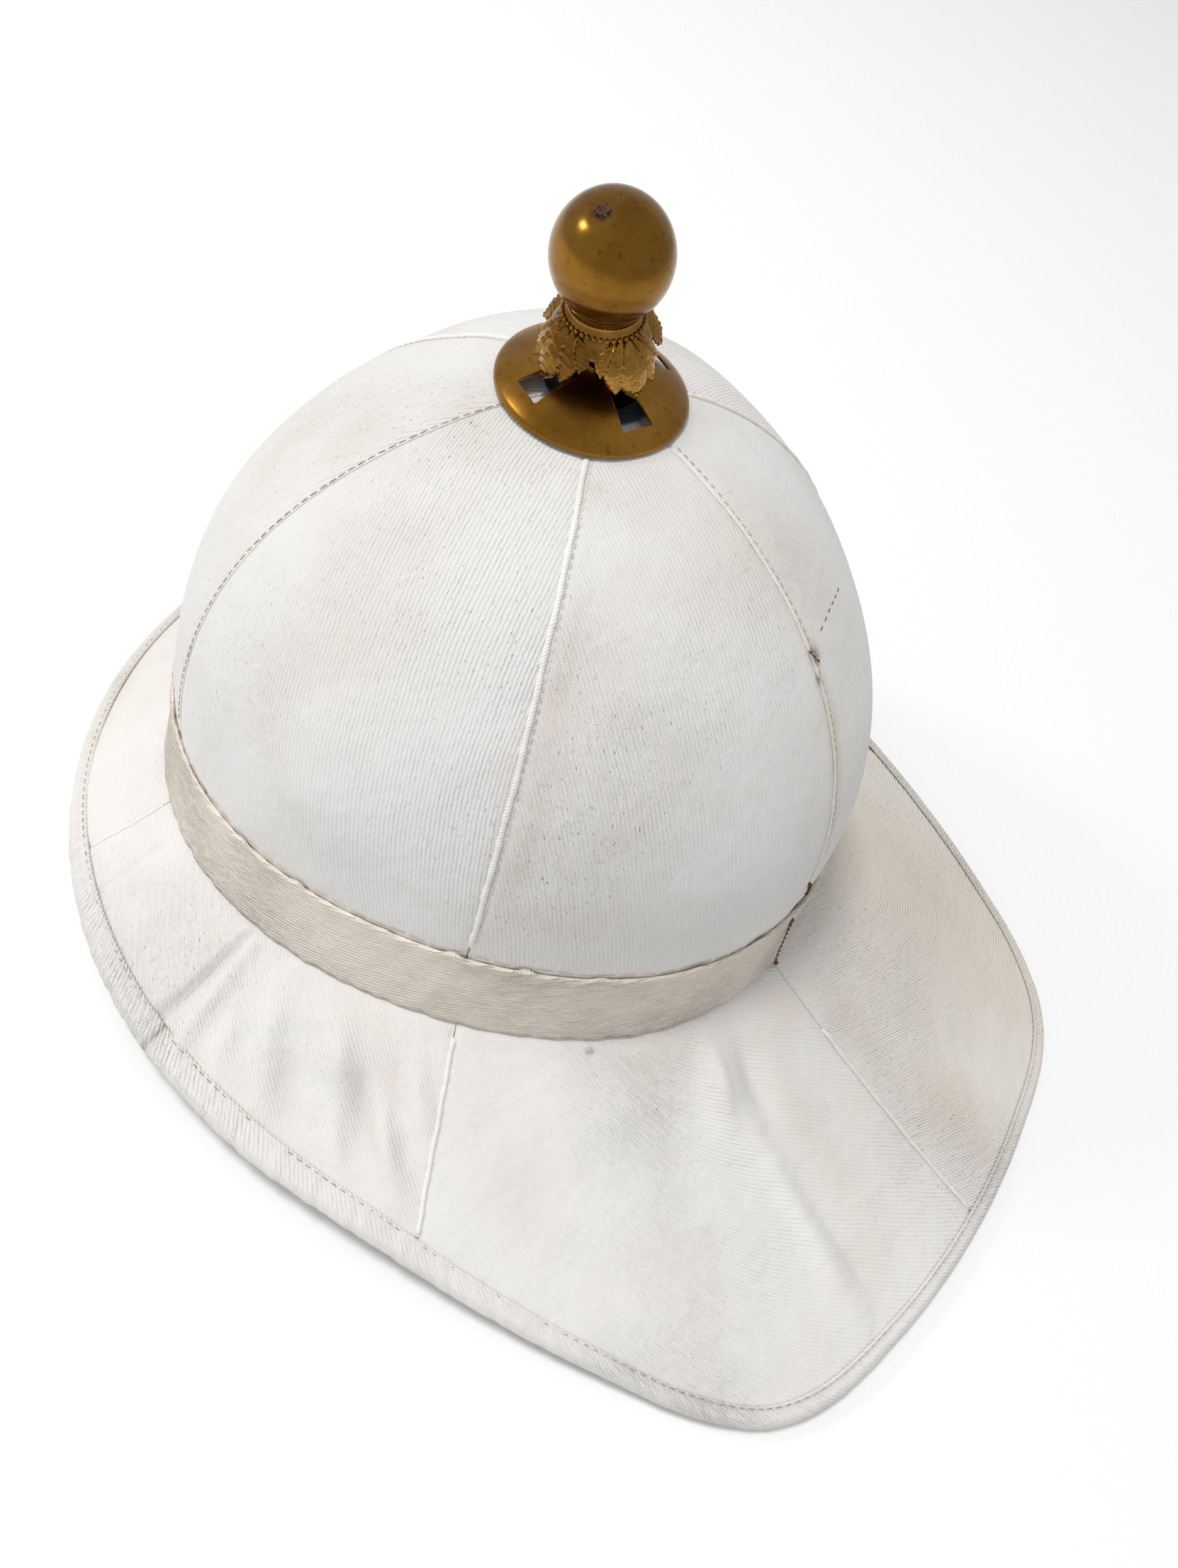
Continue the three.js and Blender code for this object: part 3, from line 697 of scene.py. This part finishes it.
def welt(name, stands_for, seam, middle, stations, width, height):
    """A half-round strip that rides on a seam and dies away at both ends."""
    count = len(stations)
    radius = np.hypot(*np.moveaxis(outer_face(middle, stations), -1, 0)[:2])
    wobble = 0.10 * np.sin(0.31 * np.arange(count) + seam) + 0.10 * np.sin(0.13 * np.arange(count) + 1)
    turn = np.linspace(0, np.pi, 9)
    ends = np.clip(np.minimum(np.arange(count), count - 1 - np.arange(count)) / 3, 0.05, 1)
    swell = 1 + 0.10 * np.sin(0.83 * np.arange(count) + seam) + 0.06 * np.sin(1.9 * np.arange(count))
    across = (np.cos(turn)[None, :] * width / 2 * swell[:, None] - wobble[:, None]) / radius[:, None]
    rise = np.sin(turn)[None, :] * (height + 0.45) * (ends * swell)[:, None] - 0.4
    azimuth = middle - across
    up = np.repeat(stations[:, None], len(turn), axis=1)
    points = worn_face(azimuth, up, -rise)
    size = len(turn)
    faces = tube_faces(count, size)
    faces.append(list(range(size))[::-1])
    faces.append([(count - 1) * size + k for k in range(size)])
    piece = mesh_piece(name, points, faces)
    over, long_way = np.meshgrid(turn * width, run_along(outer_face(middle, stations)))
    lay_out(piece, np.stack([over, long_way], axis=-1))
    soil_and_shade(piece, azimuth, up)
    dressed(piece, welt_drill, "welt_cloth", stands_for)


for look in SEAM_LOOKS:
    seam = look["seam"]
    names = (f"crown_seam_{seam + 1}", f"crown_welt_{seam + 1}")
    middle = math.radians(SEAMS[seam])
    stations = np.linspace(1.02, 1.93, 130)
    welt(*names, seam, middle, stations, look["crown_width"], look["crown_height"])
    names = (f"brim_seam_{seam + 1}", f"brim_welt_{seam + 1}")
    middle = math.radians(BRIM_SEAMS[seam])
    lowest = float(brim_place(middle, BINDING_NARROW + BINDING_WORN * float(wear(middle)) + 0.2))
    stations = np.linspace(lowest, look["brim_top"], 90)
    welt(*names, seam, middle, stations, look["brim_width"], look["brim_height"])

# ---- the folded band -------------------------------------------------------------------------------
# A strip of unbleached twill, folded in along the top and glued round the foot of the crown. Its ends
# lap over the rear seam, where the glue has cracked and gone rusty, and its lower edge is fraying.
BAND_COLUMNS = 720
band_twill = drill("band_twill", (0.85, 0.77, 0.68), (0.66, 0.56, 0.45), 78, 1.35, 2.6, 0.9, 0.4)
azimuth = np.linspace(0, 2 * np.pi, BAND_COLUMNS, endpoint=False)
section = table(
    "station lift",
    (0.012, 0.1),
    (0.006, 0.6),
    (0.02, 1.15),
    (0.08, 1.3),
    (0.25, 1.3),
    (0.4, 1.3),
    (0.55, 1.3),
    (0.7, 1.3),
    (0.85, 1.3),
    (0.93, 1.36),
    (0.965, 1.4),
    (0.99, 1.25),
    (1.0, 0.95),
    (1.0, 0.5),
    (0.99, 0.1),
    (0.7, 0.1),
    (0.4, 0.1),
)
around, station = np.meshgrid(azimuth, [row["station"] for row in section], indexing="ij")
_, lift = np.meshgrid(azimuth, [row["lift"] for row in section], indexing="ij")
outside = np.clip((lift - 0.3) / 0.7, 0, 1)
ruffle = 0.12 * np.sin(37 * around + 5 * station) * np.sin(23 * around)
ruffle = ruffle + 0.1 * np.sin(61 * around - 9 * station)
past_lap = (around + 0.012) % (2 * np.pi)
lapped = np.exp(-((past_lap * 115 / 22) ** 4))
loose = 0.02 * np.abs(np.sin(61 * around) * np.sin(23 * around + 1)) + 0.008 * (1 + np.sin(113 * around))
fray = np.where(station < 0.05, loose, 0)
hem = np.where(station > 0.9, 0.006 * np.sin(29 * around) + 0.004 * np.sin(67 * around), 0)
lift = lift + outside * (ruffle + 0.55 * lapped)
points = worn_face(around, station + fray + hem * outside, -lift)
size = len(section)
faces = [face[::-1] for face in tube_faces(BAND_COLUMNS, size, closed=True)]
band = mesh_piece("folded_band", points, faces)
line = outer_face(azimuth, 0.5)
run = run_along(np.concatenate([line, line[:1]]))[1:]
long_way = np.repeat(run[:, None], size, axis=1)
lay_out(band, np.stack([long_way, station * BAND_HEIGHT], axis=-1), float(run[-1]))
soil_and_shade(band, around, station)
dressed(band, band_twill, "band_cloth", "hat_band")

# ---- the edge binding ------------------------------------------------------------------------------
# A bias strip of the same drill, wrapped over the brim's edge and sewn through. It is narrow and tight
# on the right, and wide, lumpy and worn on the left. The neck guard and peak press it flat.
BINDING_COLUMNS = 900
binding_drill = drill("binding_drill", (0.79, 0.77, 0.745), (0.64, 0.58, 0.50), 45, 1.2, 1.3, 0.9, 0.6)
azimuth = np.linspace(0, 2 * np.pi, BINDING_COLUMNS, endpoint=False)
edge = outer_face(azimuth, -1.0)
inside_edge = outer_face(azimuth, -0.96)
out = (edge - inside_edge) / np.linalg.norm(edge - inside_edge, axis=-1, keepdims=True)
level = np.stack([np.cos(azimuth), np.sin(azimuth), np.zeros(BINDING_COLUMNS)], axis=-1)
above = np.cross(level, -out)
above /= np.linalg.norm(above, axis=-1, keepdims=True)
stack = DRILL_THICK + SLIVER + PITH_THICK
worn = wear(azimuth)
width = BINDING_NARROW + BINDING_WORN * worn
coarse = 0.4 * np.sin(43 * azimuth) * np.sin(19 * azimuth) + 0.3 * np.sin(97 * azimuth + 1)
lumps = (0.25 + 0.75 * worn) * coarse + (0.1 + 0.3 * worn) * np.sin(211 * azimuth) * np.sin(37 * azimuth)
join = (azimuth - math.radians(289)) * 170
lumps = lumps + 0.8 * np.exp(-((join / 1.2) ** 2)) * (join < 0.6)
ring = []
for share, high, groove in (
    (1.0, 0.25, 0.0),
    (1.0, 0.7, 0.0),
    (0.94, 1.1, 0.35),
    (0.84, 1.15, 0.3),
    (0.7, 1.0, -0.2),
    (0.52, 1.0, -0.3),
    (0.3, 1.2, 0.25),
    (0.0, 1.3, 0.35),
):
    ring.append((-width * share, high + groove * (1 - worn) + lumps * (0.45 if high > 0.5 else 0)))
for degrees in (65, 40, 15, -10, -35, -60):
    angle = math.radians(degrees)
    half = stack / 2 + 0.9
    x = 2.8 * math.cos(angle) + lumps * 0.35
    y = -stack / 2 + 0.15 + half * math.sin(angle) * 1.08
    ring.append((x, y + lumps * 0.2))
under = -stack - SLIVER
for share, depth in ((0.0, 0.9), (0.5, 0.9), (1.0, 0.9), (1.0, 0.1), (0.5, 0.0)):
    ring.append((-9.0 * share, under - depth))
ring += [(0.4, under), (0.5, -stack / 2), (0.4, 0.3), (-width * 0.5, 0.25)]
PRESSED = 0.6
foot = edge[0] + above[0] * (-stack - SLIVER - 0.9)
ring = [edge + out * (x + 0 * azimuth)[:, None] + above * (y + 0 * azimuth)[:, None] for x, y in ring]
points = np.stack(ring, axis=1)
floor = foot[2] + PRESSED + FLOOR_SLOPE * (points[..., 1] - foot[1])
points[..., 2] = np.maximum(points[..., 2], floor)
size = len(ring)
binding = mesh_piece("edge_strip", stood(points), tube_faces(BINDING_COLUMNS, size, closed=True))
run = run_along(np.concatenate([edge, edge[:1]]))[1:]
over, long_way = np.meshgrid(run_along(points[0]), run)
lay_out(binding, np.stack([long_way, over], axis=-1), float(run[-1]))
soil_and_shade(binding, np.repeat(azimuth[:, None], size, axis=1), np.full((BINDING_COLUMNS, size), -0.97))
dressed(binding, binding_drill, "binding_cloth", "edge_binding")

# ---- the stitching ---------------------------------------------------------------------------------
# Two-ply cotton thread, once white and now brown, in running stitches beside the seams and along the
# binding's inner edge. A near-unbroken row of dark thread in the bare seam's groove is partly painted shade
# of the groove.
# Where the band and crown have cracked, rusty ends of thread stand in the crack.


THREAD_RINGS = 5
THREAD_SIDES = 6


def stitch_row(azimuth, station, lift, length, gap, thick):
    """Points and faces of a row of stitches on the cloth, along a path of azimuths and stations."""
    line = outer_face(azimuth, station)
    run = run_along(line)
    starts = np.arange(0.5, run[-1] - length, length + gap)
    starts = starts + 0.22 * gap * np.sin(7.1 * np.arange(len(starts)))
    share = np.array([0.0, 0.15, 0.5, 0.85, 1.0])
    along = starts[:, None] + share[None, :] * length
    where = np.interp(along, run, azimuth)
    level = np.interp(along, run, station)
    height = np.interp(along, run, lift + 0 * run) + thick * np.array([-0.6, 0.0, 0.25, 0.0, -0.6])[None, :]
    centre = worn_face(where, level, -height)
    ahead = centre[:, -1] - centre[:, 0]
    ahead /= np.linalg.norm(ahead, axis=-1, keepdims=True)
    raised = worn_face(where[:, 2], level[:, 2], -height[:, 2] - 1) - centre[:, 2]
    beside = np.cross(ahead, raised)
    beside /= np.linalg.norm(beside, axis=-1, keepdims=True)
    raised = np.cross(beside, ahead)
    turn = np.linspace(0, 2 * np.pi, THREAD_SIDES, endpoint=False)
    fat = thick / 2 * MM * np.array([0.35, 0.85, 1.0, 0.85, 0.35])
    spoke = np.cos(turn)[:, None] * beside[:, None, None] + np.sin(turn)[:, None] * raised[:, None, None]
    points = (centre[:, :, None] + spoke * fat[None, :, None, None]).reshape(-1, 3)
    faces = []
    for stitch in range(len(starts)):
        base = stitch * THREAD_RINGS * THREAD_SIDES
        end = base + (THREAD_RINGS - 1) * THREAD_SIDES
        faces += tube_faces(THREAD_RINGS, THREAD_SIDES, start=base)
        faces.append([base + k for k in range(THREAD_SIDES)][::-1])
        faces.append([end + k for k in range(THREAD_SIDES)])
    return points, faces


def sewn(name, rows, colour, slot):
    """One piece of thread made of several rows of stitches."""
    points = np.concatenate([row[0] for row in rows])
    faces = []
    start = 0
    for row in rows:
        faces += [[corner + start for corner in face] for face in row[1]]
        start += len(row[0])
    piece = mesh_piece(name, points, faces)
    material, tree, surface = shader(name + "_thread")
    place = own_place(tree)
    fade = noise(tree, place, 45.0, 3.0)
    faded = blend(tree, stretch(tree, fade, 0.35, 0.65), colour, [part * 1.7 for part in colour])
    tree.links.new(faded, surface.inputs["Base Color"])
    tree.links.new(bump(tree, noise(tree, place, 3000.0, 2.0), 0.5, 0.0001), surface.inputs["Normal"])
    surface.inputs["Roughness"].default_value = 0.9
    dressed(piece, material, slot)


def beside_seam(degrees, low, high, offset, lift, length, gap, thick):
    station = np.linspace(low, high, 160)
    middle = math.radians(degrees)
    radius = np.hypot(*np.moveaxis(outer_face(middle, station), -1, 0)[:2])
    return stitch_row(middle + offset / radius, station, lift, length, gap, thick)


rows = []
for degrees in (0, 56, 118, 180):
    rows.append(beside_seam(degrees, 1.03, 1.93, 1.2, 0.02, 1.5, 1.1, 0.26))
rows.append(beside_seam(304, 1.03, 1.93, 1.35, 0.02, 1.7, 0.9, 0.28))
for degrees in (56, 118, 180):
    rows.append(beside_seam(degrees, -0.9, -0.05, 1.2, 0.02, 1.5, 1.1, 0.26))
sewn("seam_stitches", rows, (0.52, 0.48, 0.42), "welt_cloth")
# Painted shade in part: a near-unbroken row of dark thread along the bare seam's groove.
rows = [beside_seam(242, 1.03, 1.93, 0.0, 0.18, 2.6, 0.35, 0.28)]
sewn("groove_stitches", rows, (0.27, 0.24, 0.20), "welt_cloth")

azimuth = np.linspace(0, 2 * np.pi, 1400)
inwards = BINDING_NARROW + BINDING_WORN * wear(azimuth) - 0.7
rows = [stitch_row(azimuth, brim_place(azimuth, inwards), 1.2 + 0.1 * np.sin(9 * azimuth), 2.1, 1.1, 0.34)]
sewn("binding_stitches", rows, (0.32, 0.26, 0.19), "binding_cloth")
rows = [stitch_row(azimuth, 1.006 + 0.002 * np.sin(31 * azimuth), 0.3, 5.0, 1.2, 0.3)]
sewn("band_stitches", rows, (0.40, 0.31, 0.22), "band_cloth")
lean = np.linspace(0, 1, 40)
rows = [
    stitch_row(np.radians(-1 + 2 * lean), 0.96 - 0.93 * lean, 1.95, 2.6, 0.4, 0.8),
    stitch_row(np.radians(0.6 + 0.9 * lean), 0.10 - 0.10 * lean, 2.1, 1.2, 0.1, 1.5),
    stitch_row(np.radians(-0.3 + 0.9 * lean), 1.07 - 0.04 * lean, 0.3, 1.2, 0.1, 1.1),
    stitch_row(np.radians(5 + 17 * lean), 1.56 + 0.006 * np.sin(4 * lean), 0.02, 2.4, 1.3, 0.3),
    stitch_row(np.radians(-0.6 + 1.8 * lean), 1.555 - 0.03 * lean, 0.35, 1.3, 0.5, 0.6),
]
sewn("rusty_cracks", rows, (0.09, 0.042, 0.02), "band_cloth")

# ---- the brass vent plate --------------------------------------------------------------------------
# A disc of sheet brass spun into a low dome with a turned-down rim, and pierced with four windows.
# It has tarnished to a deep gold. The vent's dark metal lining shows through the windows, its colour darkened
# further by painted shade from inside the vent.
PIVOT = 119.0
FINIAL_SLID = (-1.2, 1.4, 0)


def leaning(degrees, azimuth):
    """Where a piece of the finial goes, once it has leant over towards an azimuth."""
    turn = Vector(outward(np.float64(math.radians(azimuth + 90)), 1.0, np.float64(0.0)).tolist())
    pivot = Matrix.Translation((0, 0, PIVOT * MM))
    slid = Matrix.Translation(Vector(FINIAL_SLID) * MM)
    return standing @ slid @ pivot @ Matrix.Rotation(math.radians(degrees), 4, turn) @ pivot.inverted()


def edit(piece):
    """Goes into edit mode on one piece with nothing selected."""
    if bpy.context.object and bpy.context.object.mode == "EDIT":
        bpy.ops.object.mode_set(mode="OBJECT")
    bpy.ops.object.select_all(action="DESELECT")
    bpy.context.view_layer.objects.active = piece
    piece.select_set(True)
    bpy.ops.object.mode_set(mode="EDIT")


def drawn_up(name, profile, corners):
    """A turned skin: a circle drawn from each (radius, height) of a profile to the next, in millimetres."""
    radius, height = profile[0]
    bpy.ops.object.select_all(action="DESELECT")
    bpy.ops.mesh.primitive_circle_add(vertices=corners, radius=radius * MM, location=(0, 0, height * MM))
    piece = bpy.context.object
    piece.name = name
    bpy.ops.object.transform_apply(location=True, rotation=True, scale=True)
    edit(piece)
    bpy.ops.mesh.select_all(action="SELECT")
    for wide, high in profile[1:]:
        bpy.ops.mesh.extrude_edges_move(TRANSFORM_OT_translate={"value": (0, 0, (high - height) * MM)})
        bpy.ops.transform.resize(value=(wide / radius, wide / radius, 1), center_override=(0, 0, high * MM))
        radius, height = wide, high
    bpy.ops.mesh.select_all(action="SELECT")
    bpy.ops.mesh.remove_doubles(threshold=0.000001)
    bpy.ops.mesh.normals_make_consistent(inside=False)
    bpy.ops.object.mode_set(mode="OBJECT")
    piece.data.shade_smooth()
    return piece


def apply_all(piece):
    bpy.context.view_layer.objects.active = piece
    for modifier in list(piece.modifiers):
        bpy.ops.object.modifier_apply(modifier=modifier.name)


def copied_round(piece, count):
    """Copies of a piece, each with its own mesh, evenly round the upright middle line."""
    copies = []
    for number in range(1, count):
        copy = bpy.data.objects.new(f"{piece.name}_{number}", piece.data.copy())
        copy.data.transform(Matrix.Rotation(2 * math.pi * number / count, 4, "Z"))
        bpy.context.scene.collection.objects.link(copy)
        copies.append(copy)
    return copies


def join_up(piece, others):
    """Makes other pieces part of one piece's mesh."""
    bpy.ops.object.select_all(action="DESELECT")
    for each in (piece, *others):
        each.select_set(True)
    bpy.context.view_layer.objects.active = piece
    bpy.ops.object.join()


def aged_brass(name, body, brighter_gold, dull, shine, grain):
    """Old lacquered brass: brown tarnish in clouds over a brighter gold, the darker clouds also painted
    reflections of a dark room, with fine scratches.
    """
    material, tree, surface = shader(name)
    place = own_place(tree)
    clouds = noise(tree, place, 60.0, 5.0, 0.6)
    drops = noise(tree, place, 420.0, 3.0, 0.6)
    scratch = noise(tree, mapped(tree, place, Scale=(1, 9, 4)), 260.0, 4.0, 0.7)
    # The darker clouds are partly tarnish and partly painted reflections of a dark room.
    colour = blend(tree, stretch(tree, clouds, 0.36, 0.66), body, brighter_gold)
    colour = blend(tree, times(tree, stretch(tree, drops, 0.58, 0.72), 0.55), colour, dull)
    tree.links.new(colour, surface.inputs["Base Color"])
    surface.inputs["Metallic"].default_value = 1.0
    rough = plus(tree, plus(tree, times(tree, clouds, 0.18), shine), times(tree, drops, 0.1))
    tree.links.new(rough, surface.inputs["Roughness"])
    tree.links.new(bump(tree, scratch, grain, 0.0001), surface.inputs["Normal"])
    return material


DULL = (0.10, 0.045, 0.012)
plate_brass = aged_brass("plate_brass", (0.22, 0.098, 0.014), (0.36, 0.178, 0.030), DULL, 0.17, 0.15)

WINDOWS = 4
FIRST_WINDOW = -18
WINDOW_INNER, WINDOW_OUTER = 6.8, 21.0
NARROW_HALF, WIDE_HALF = 2.3, 4.6
plate = drawn_up(
    "vent_dome",
    [
        *((3.2, 125.9), (5.7, 125.8), (8.2, 125.5), (12, 124.9), (16, 123.9), (20, 122.4)),
        *((23.2, 120.7), (24.9, 119.6), (25.7, 118.9), (26.0, 118.3), (26.0, 117.6)),
    ],
    96,
)
solid = plate.modifiers.new("sheet", "SOLIDIFY")
solid.thickness = 0.8 * MM
solid.offset = -1
apply_all(plate)

bpy.ops.object.select_all(action="DESELECT")
bpy.ops.mesh.primitive_cube_add(size=1, location=(0, 0, 0))
punch = bpy.context.object
punch.scale = ((WINDOW_OUTER - WINDOW_INNER) * MM, 1, 30 * MM)
punch.location = ((WINDOW_OUTER + WINDOW_INNER) / 2 * MM, 0, 121 * MM)
bpy.ops.object.transform_apply(location=True, rotation=True, scale=True)
for corner in punch.data.vertices:
    half = WIDE_HALF if corner.co.x > 13 * MM else NARROW_HALF
    corner.co.y = math.copysign(half * MM, corner.co.y)
bevel = punch.modifiers.new("corners", "BEVEL")
bevel.width = 0.7 * MM
bevel.segments = 3
apply_all(punch)
punch.data.transform(Matrix.Rotation(math.radians(FIRST_WINDOW - 90), 4, "Z"))
join_up(punch, copied_round(punch, WINDOWS))
pierce = plate.modifiers.new("windows", "BOOLEAN")
pierce.operation = "DIFFERENCE"
pierce.solver = "EXACT"
pierce.object = punch
apply_all(plate)
bpy.data.objects.remove(punch)
edges = plate.modifiers.new("edges", "BEVEL")
edges.width = 0.18 * MM
edges.segments = 2
edges.limit_method = "ANGLE"
edges.angle_limit = math.radians(50)
apply_all(plate)
plate.data.transform(leaning(*SEAT_LEAN))
bpy.ops.object.select_all(action="DESELECT")
plate.select_set(True)
bpy.context.view_layer.objects.active = plate
bpy.ops.object.shade_smooth_by_angle(angle=math.radians(35))
dressed(plate, plate_brass, "aged_brass", "vent_plate")

# The lining's near-black is partly painted shade from inside the vent.
zinc, tree, surface = shader("dark_lining")
place = own_place(tree)
bloom = noise(tree, place, 140.0, 4.0)
greys = blend(tree, stretch(tree, bloom, 0.35, 0.7), (0.018, 0.022, 0.028), (0.075, 0.09, 0.105))
tree.links.new(greys, surface.inputs["Base Color"])
surface.inputs["Metallic"].default_value = 0.7
tree.links.new(plus(tree, times(tree, bloom, 0.3), 0.3), surface.inputs["Roughness"])
for name, material in (("vent_collar", zinc), ("hidden_post", plate_brass)):
    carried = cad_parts[name]
    carried.data.materials.clear()
    carried.data.materials.append(material)

# ---- the collar of leaves --------------------------------------------------------------------------
# A brass bell cast as four sprays of pointed leaves, with deep notches between them, that opens below
# a beaded ring and a smooth hollow neck. The ball is screwed down onto the neck.
STEM_LEAN = (9.5, -95)
LEAF_BOTTOM = 127.4
LEAF_TOP = 143.7
BELL = table(
    "up radius",
    (0.0, 15.3),
    (0.2, 15.6),
    (0.45, 14.6),
    (0.65, 12.4),
    (0.8, 10.0),
    (0.87, 9.2),
    (1.0, 9.2),
)
SPRAYS = 4
FIRST_SPRAY = -15
LEAFLETS = table(
    "fan tip width lift",
    (-35, 0.40, 2.9, -0.1),
    (35, 0.40, 2.9, -0.1),
    (-20, 0.16, 3.7, 0.35),
    (20, 0.16, 3.7, 0.35),
    (0, 0.0, 4.5, 0.8),
)
LEAF_ROWS = 50
LEAF_COLUMNS = 16


def bell_radius(up):
    return np.interp(up, [row["up"] for row in BELL], [row["radius"] for row in BELL])


CREVICE = (0.05, 0.022, 0.007)
leaf_brass = aged_brass("leaf_brass", (0.20, 0.092, 0.017), (0.42, 0.225, 0.048), CREVICE, 0.05, 0.1)


def leaflet(spray, leaf):
    """One pointed leaf lying on the bell: a ridge down its middle, veins, and edges bent down."""
    rows, columns = np.linspace(0, 1, LEAF_ROWS + 1), np.linspace(-1, 1, LEAF_COLUMNS + 1)
    s, t = np.meshgrid(rows, columns, indexing="ij")
    up = 0.83 + (leaf["tip"] - 0.83) * s
    half = leaf["width"] * np.sin(np.pi * np.clip(s * 0.97 + 0.015, 0, 1) ** 1.15) ** 0.75 + 0.03
    notched = 1 - 0.06 * np.abs(np.sin(s * np.pi * 4.5)) * np.abs(t)
    radius = bell_radius(up)
    middle = math.radians(spray + leaf["fan"] * 0.55) + math.radians(leaf["fan"] * 0.45) * s**0.8
    azimuth = middle + t * half * notched / np.maximum(radius, 6)
    ridge = 0.45 * np.exp(-((t / 0.1) ** 2)) + 1.1 * (1 - t * t)
    veins = 0.22 * np.sin(2 * np.pi * (s * 7 - np.abs(t) * 1.6)) * (1 - t * t) * np.clip(s * 6, 0, 1)
    curl = 0.25 * s**3 - 0.6 * np.abs(t) ** 2 * s
    face = radius + leaf["lift"] + (ridge + veins) * np.clip(1.4 - s, 0.5, 1) + curl
    back = radius + leaf["lift"] - 0.55 + curl
    z = LEAF_BOTTOM + (LEAF_TOP - LEAF_BOTTOM) * up
    points = np.concatenate([outward(azimuth, depth, z).reshape(-1, 3) for depth in (face, back)])
    outer = grid_faces(LEAF_ROWS, LEAF_COLUMNS)
    count = (LEAF_ROWS + 1) * (LEAF_COLUMNS + 1)
    faces = [quad[::-1] for quad in outer] + grid_faces(LEAF_ROWS, LEAF_COLUMNS, start=count)
    wide = LEAF_COLUMNS + 1
    rim = list(range(wide)) + [i * wide + LEAF_COLUMNS for i in range(1, LEAF_ROWS + 1)]
    rim += [LEAF_ROWS * wide + j for j in range(LEAF_COLUMNS - 1, -1, -1)]
    rim += [i * wide for i in range(LEAF_ROWS - 1, 0, -1)]
    for k, here in enumerate(rim):
        there = rim[(k + 1) % len(rim)]
        faces.append([here, there, there + count, here + count])
    return points, faces


points = []
faces = []
for spray in range(SPRAYS):
    for leaf in LEAFLETS:
        some, quads = leaflet(FIRST_SPRAY + 360 / SPRAYS * spray, leaf)
        start = sum(len(each) for each in points)
        points.append(some)
        faces += [[corner + start for corner in quad] for quad in quads]
leaves = mesh_piece("leaf_sprays", np.concatenate(points) * MM, faces)

neck = drawn_up(
    "leaf_bell",
    [(13.2, 136.3), (12.3, 138.0), (11.2, 139.4), (10.2, 140.3), (9.9, 140.8), (10.0, 141.3), (9.4, 141.8),
     (8.95, 142.4), (8.9, 143.1), (9.2, 143.9), (9.7, 144.5), (9.9, 144.9), (9.6, 145.0)],
    72,
)
solid = neck.modifiers.new("sheet", "SOLIDIFY")
solid.thickness = 1.0 * MM
solid.offset = -1
smooth = neck.modifiers.new("smooth", "SUBSURF")
smooth.levels = 1
smooth.render_levels = 1
apply_all(neck)
BEADS = 40
BEAD_RING = (10.2, 140.8)
reach, level = BEAD_RING
bpy.ops.object.select_all(action="DESELECT")
bpy.ops.mesh.primitive_ico_sphere_add(subdivisions=2, radius=0.75 * MM, location=(0, -reach * MM, level * MM))
bpy.ops.object.transform_apply(location=True, rotation=True, scale=True)
bead = bpy.context.object
join_up(neck, [bead, *copied_round(bead, BEADS), leaves])
neck.data.transform(leaning(*STEM_LEAN))
bpy.ops.object.shade_smooth_by_angle(angle=math.radians(50))
dressed(neck, leaf_brass, "aged_brass", "leaf_collar")

# ---- the brass ball --------------------------------------------------------------------------------
# A hollow ball spun from brass sheet, polished smooth by handling, with a knock near its top where
# the metal has dulled to a brownish pink. It is open below, where the post comes in.
BALL_RADIUS = 15.1
BALL_CENTRE = 156.7
mouth = math.asin(6 / BALL_RADIUS)
ball_profile = []
for step in range(25):
    angle = mouth + (math.pi - mouth) * step / 24
    reach = max(BALL_RADIUS * math.sin(angle), 0.02)
    ball_profile.append((reach, BALL_CENTRE - BALL_RADIUS * math.cos(angle)))
ball = drawn_up("brass_ball", ball_profile, 64)
knock = Vector((-0.378, 0.03, 0.926)).normalized()
centre = Vector((0, 0, BALL_CENTRE * MM))
for corner in ball.data.vertices:
    way = (corner.co - centre).normalized()
    corner.co -= way * 0.5 * MM * math.exp(-((way.angle(knock) / 0.17) ** 2))
solid = ball.modifiers.new("sheet", "SOLIDIFY")
solid.thickness = 0.9 * MM
solid.offset = -1
smooth = ball.modifiers.new("smooth", "SUBSURF")
smooth.levels = 1
smooth.render_levels = 1
apply_all(ball)
mark = ball.data.attributes.new("knock", "FLOAT", "POINT")
off = [(corner.co - centre).normalized().angle(knock) for corner in ball.data.vertices]
mark.data.foreach_set("value", np.exp(-((np.array(off) / 0.15) ** 2)))
ball.data.transform(leaning(*STEM_LEAN))
ball_brass = aged_brass("ball_brass", (0.20, 0.090, 0.013), (0.29, 0.145, 0.025), DULL, 0.05, 0.08)
tree = ball_brass.node_tree
surface = tree.nodes["Principled BSDF"]
polish = surface.inputs["Base Color"].links[0].from_socket
dulled = node(tree, "ShaderNodeAttribute", _attribute_name="knock").outputs["Fac"]
bruise = blend(tree, times(tree, dulled, 0.9), polish, (0.17, 0.09, 0.075))
place = own_place(tree)
ragged = stretch(tree, noise(tree, place, 420.0, 3.0, 0.7), 0.5, 0.6)
ragged = times(tree, ragged, stretch(tree, dulled, 0.12, 0.5))
bruise = blend(tree, ragged, bruise, (0.035, 0.028, 0.026))
tree.links.new(bruise, surface.inputs["Base Color"])
dressed(ball, ball_brass, "aged_brass", "ball_knob")
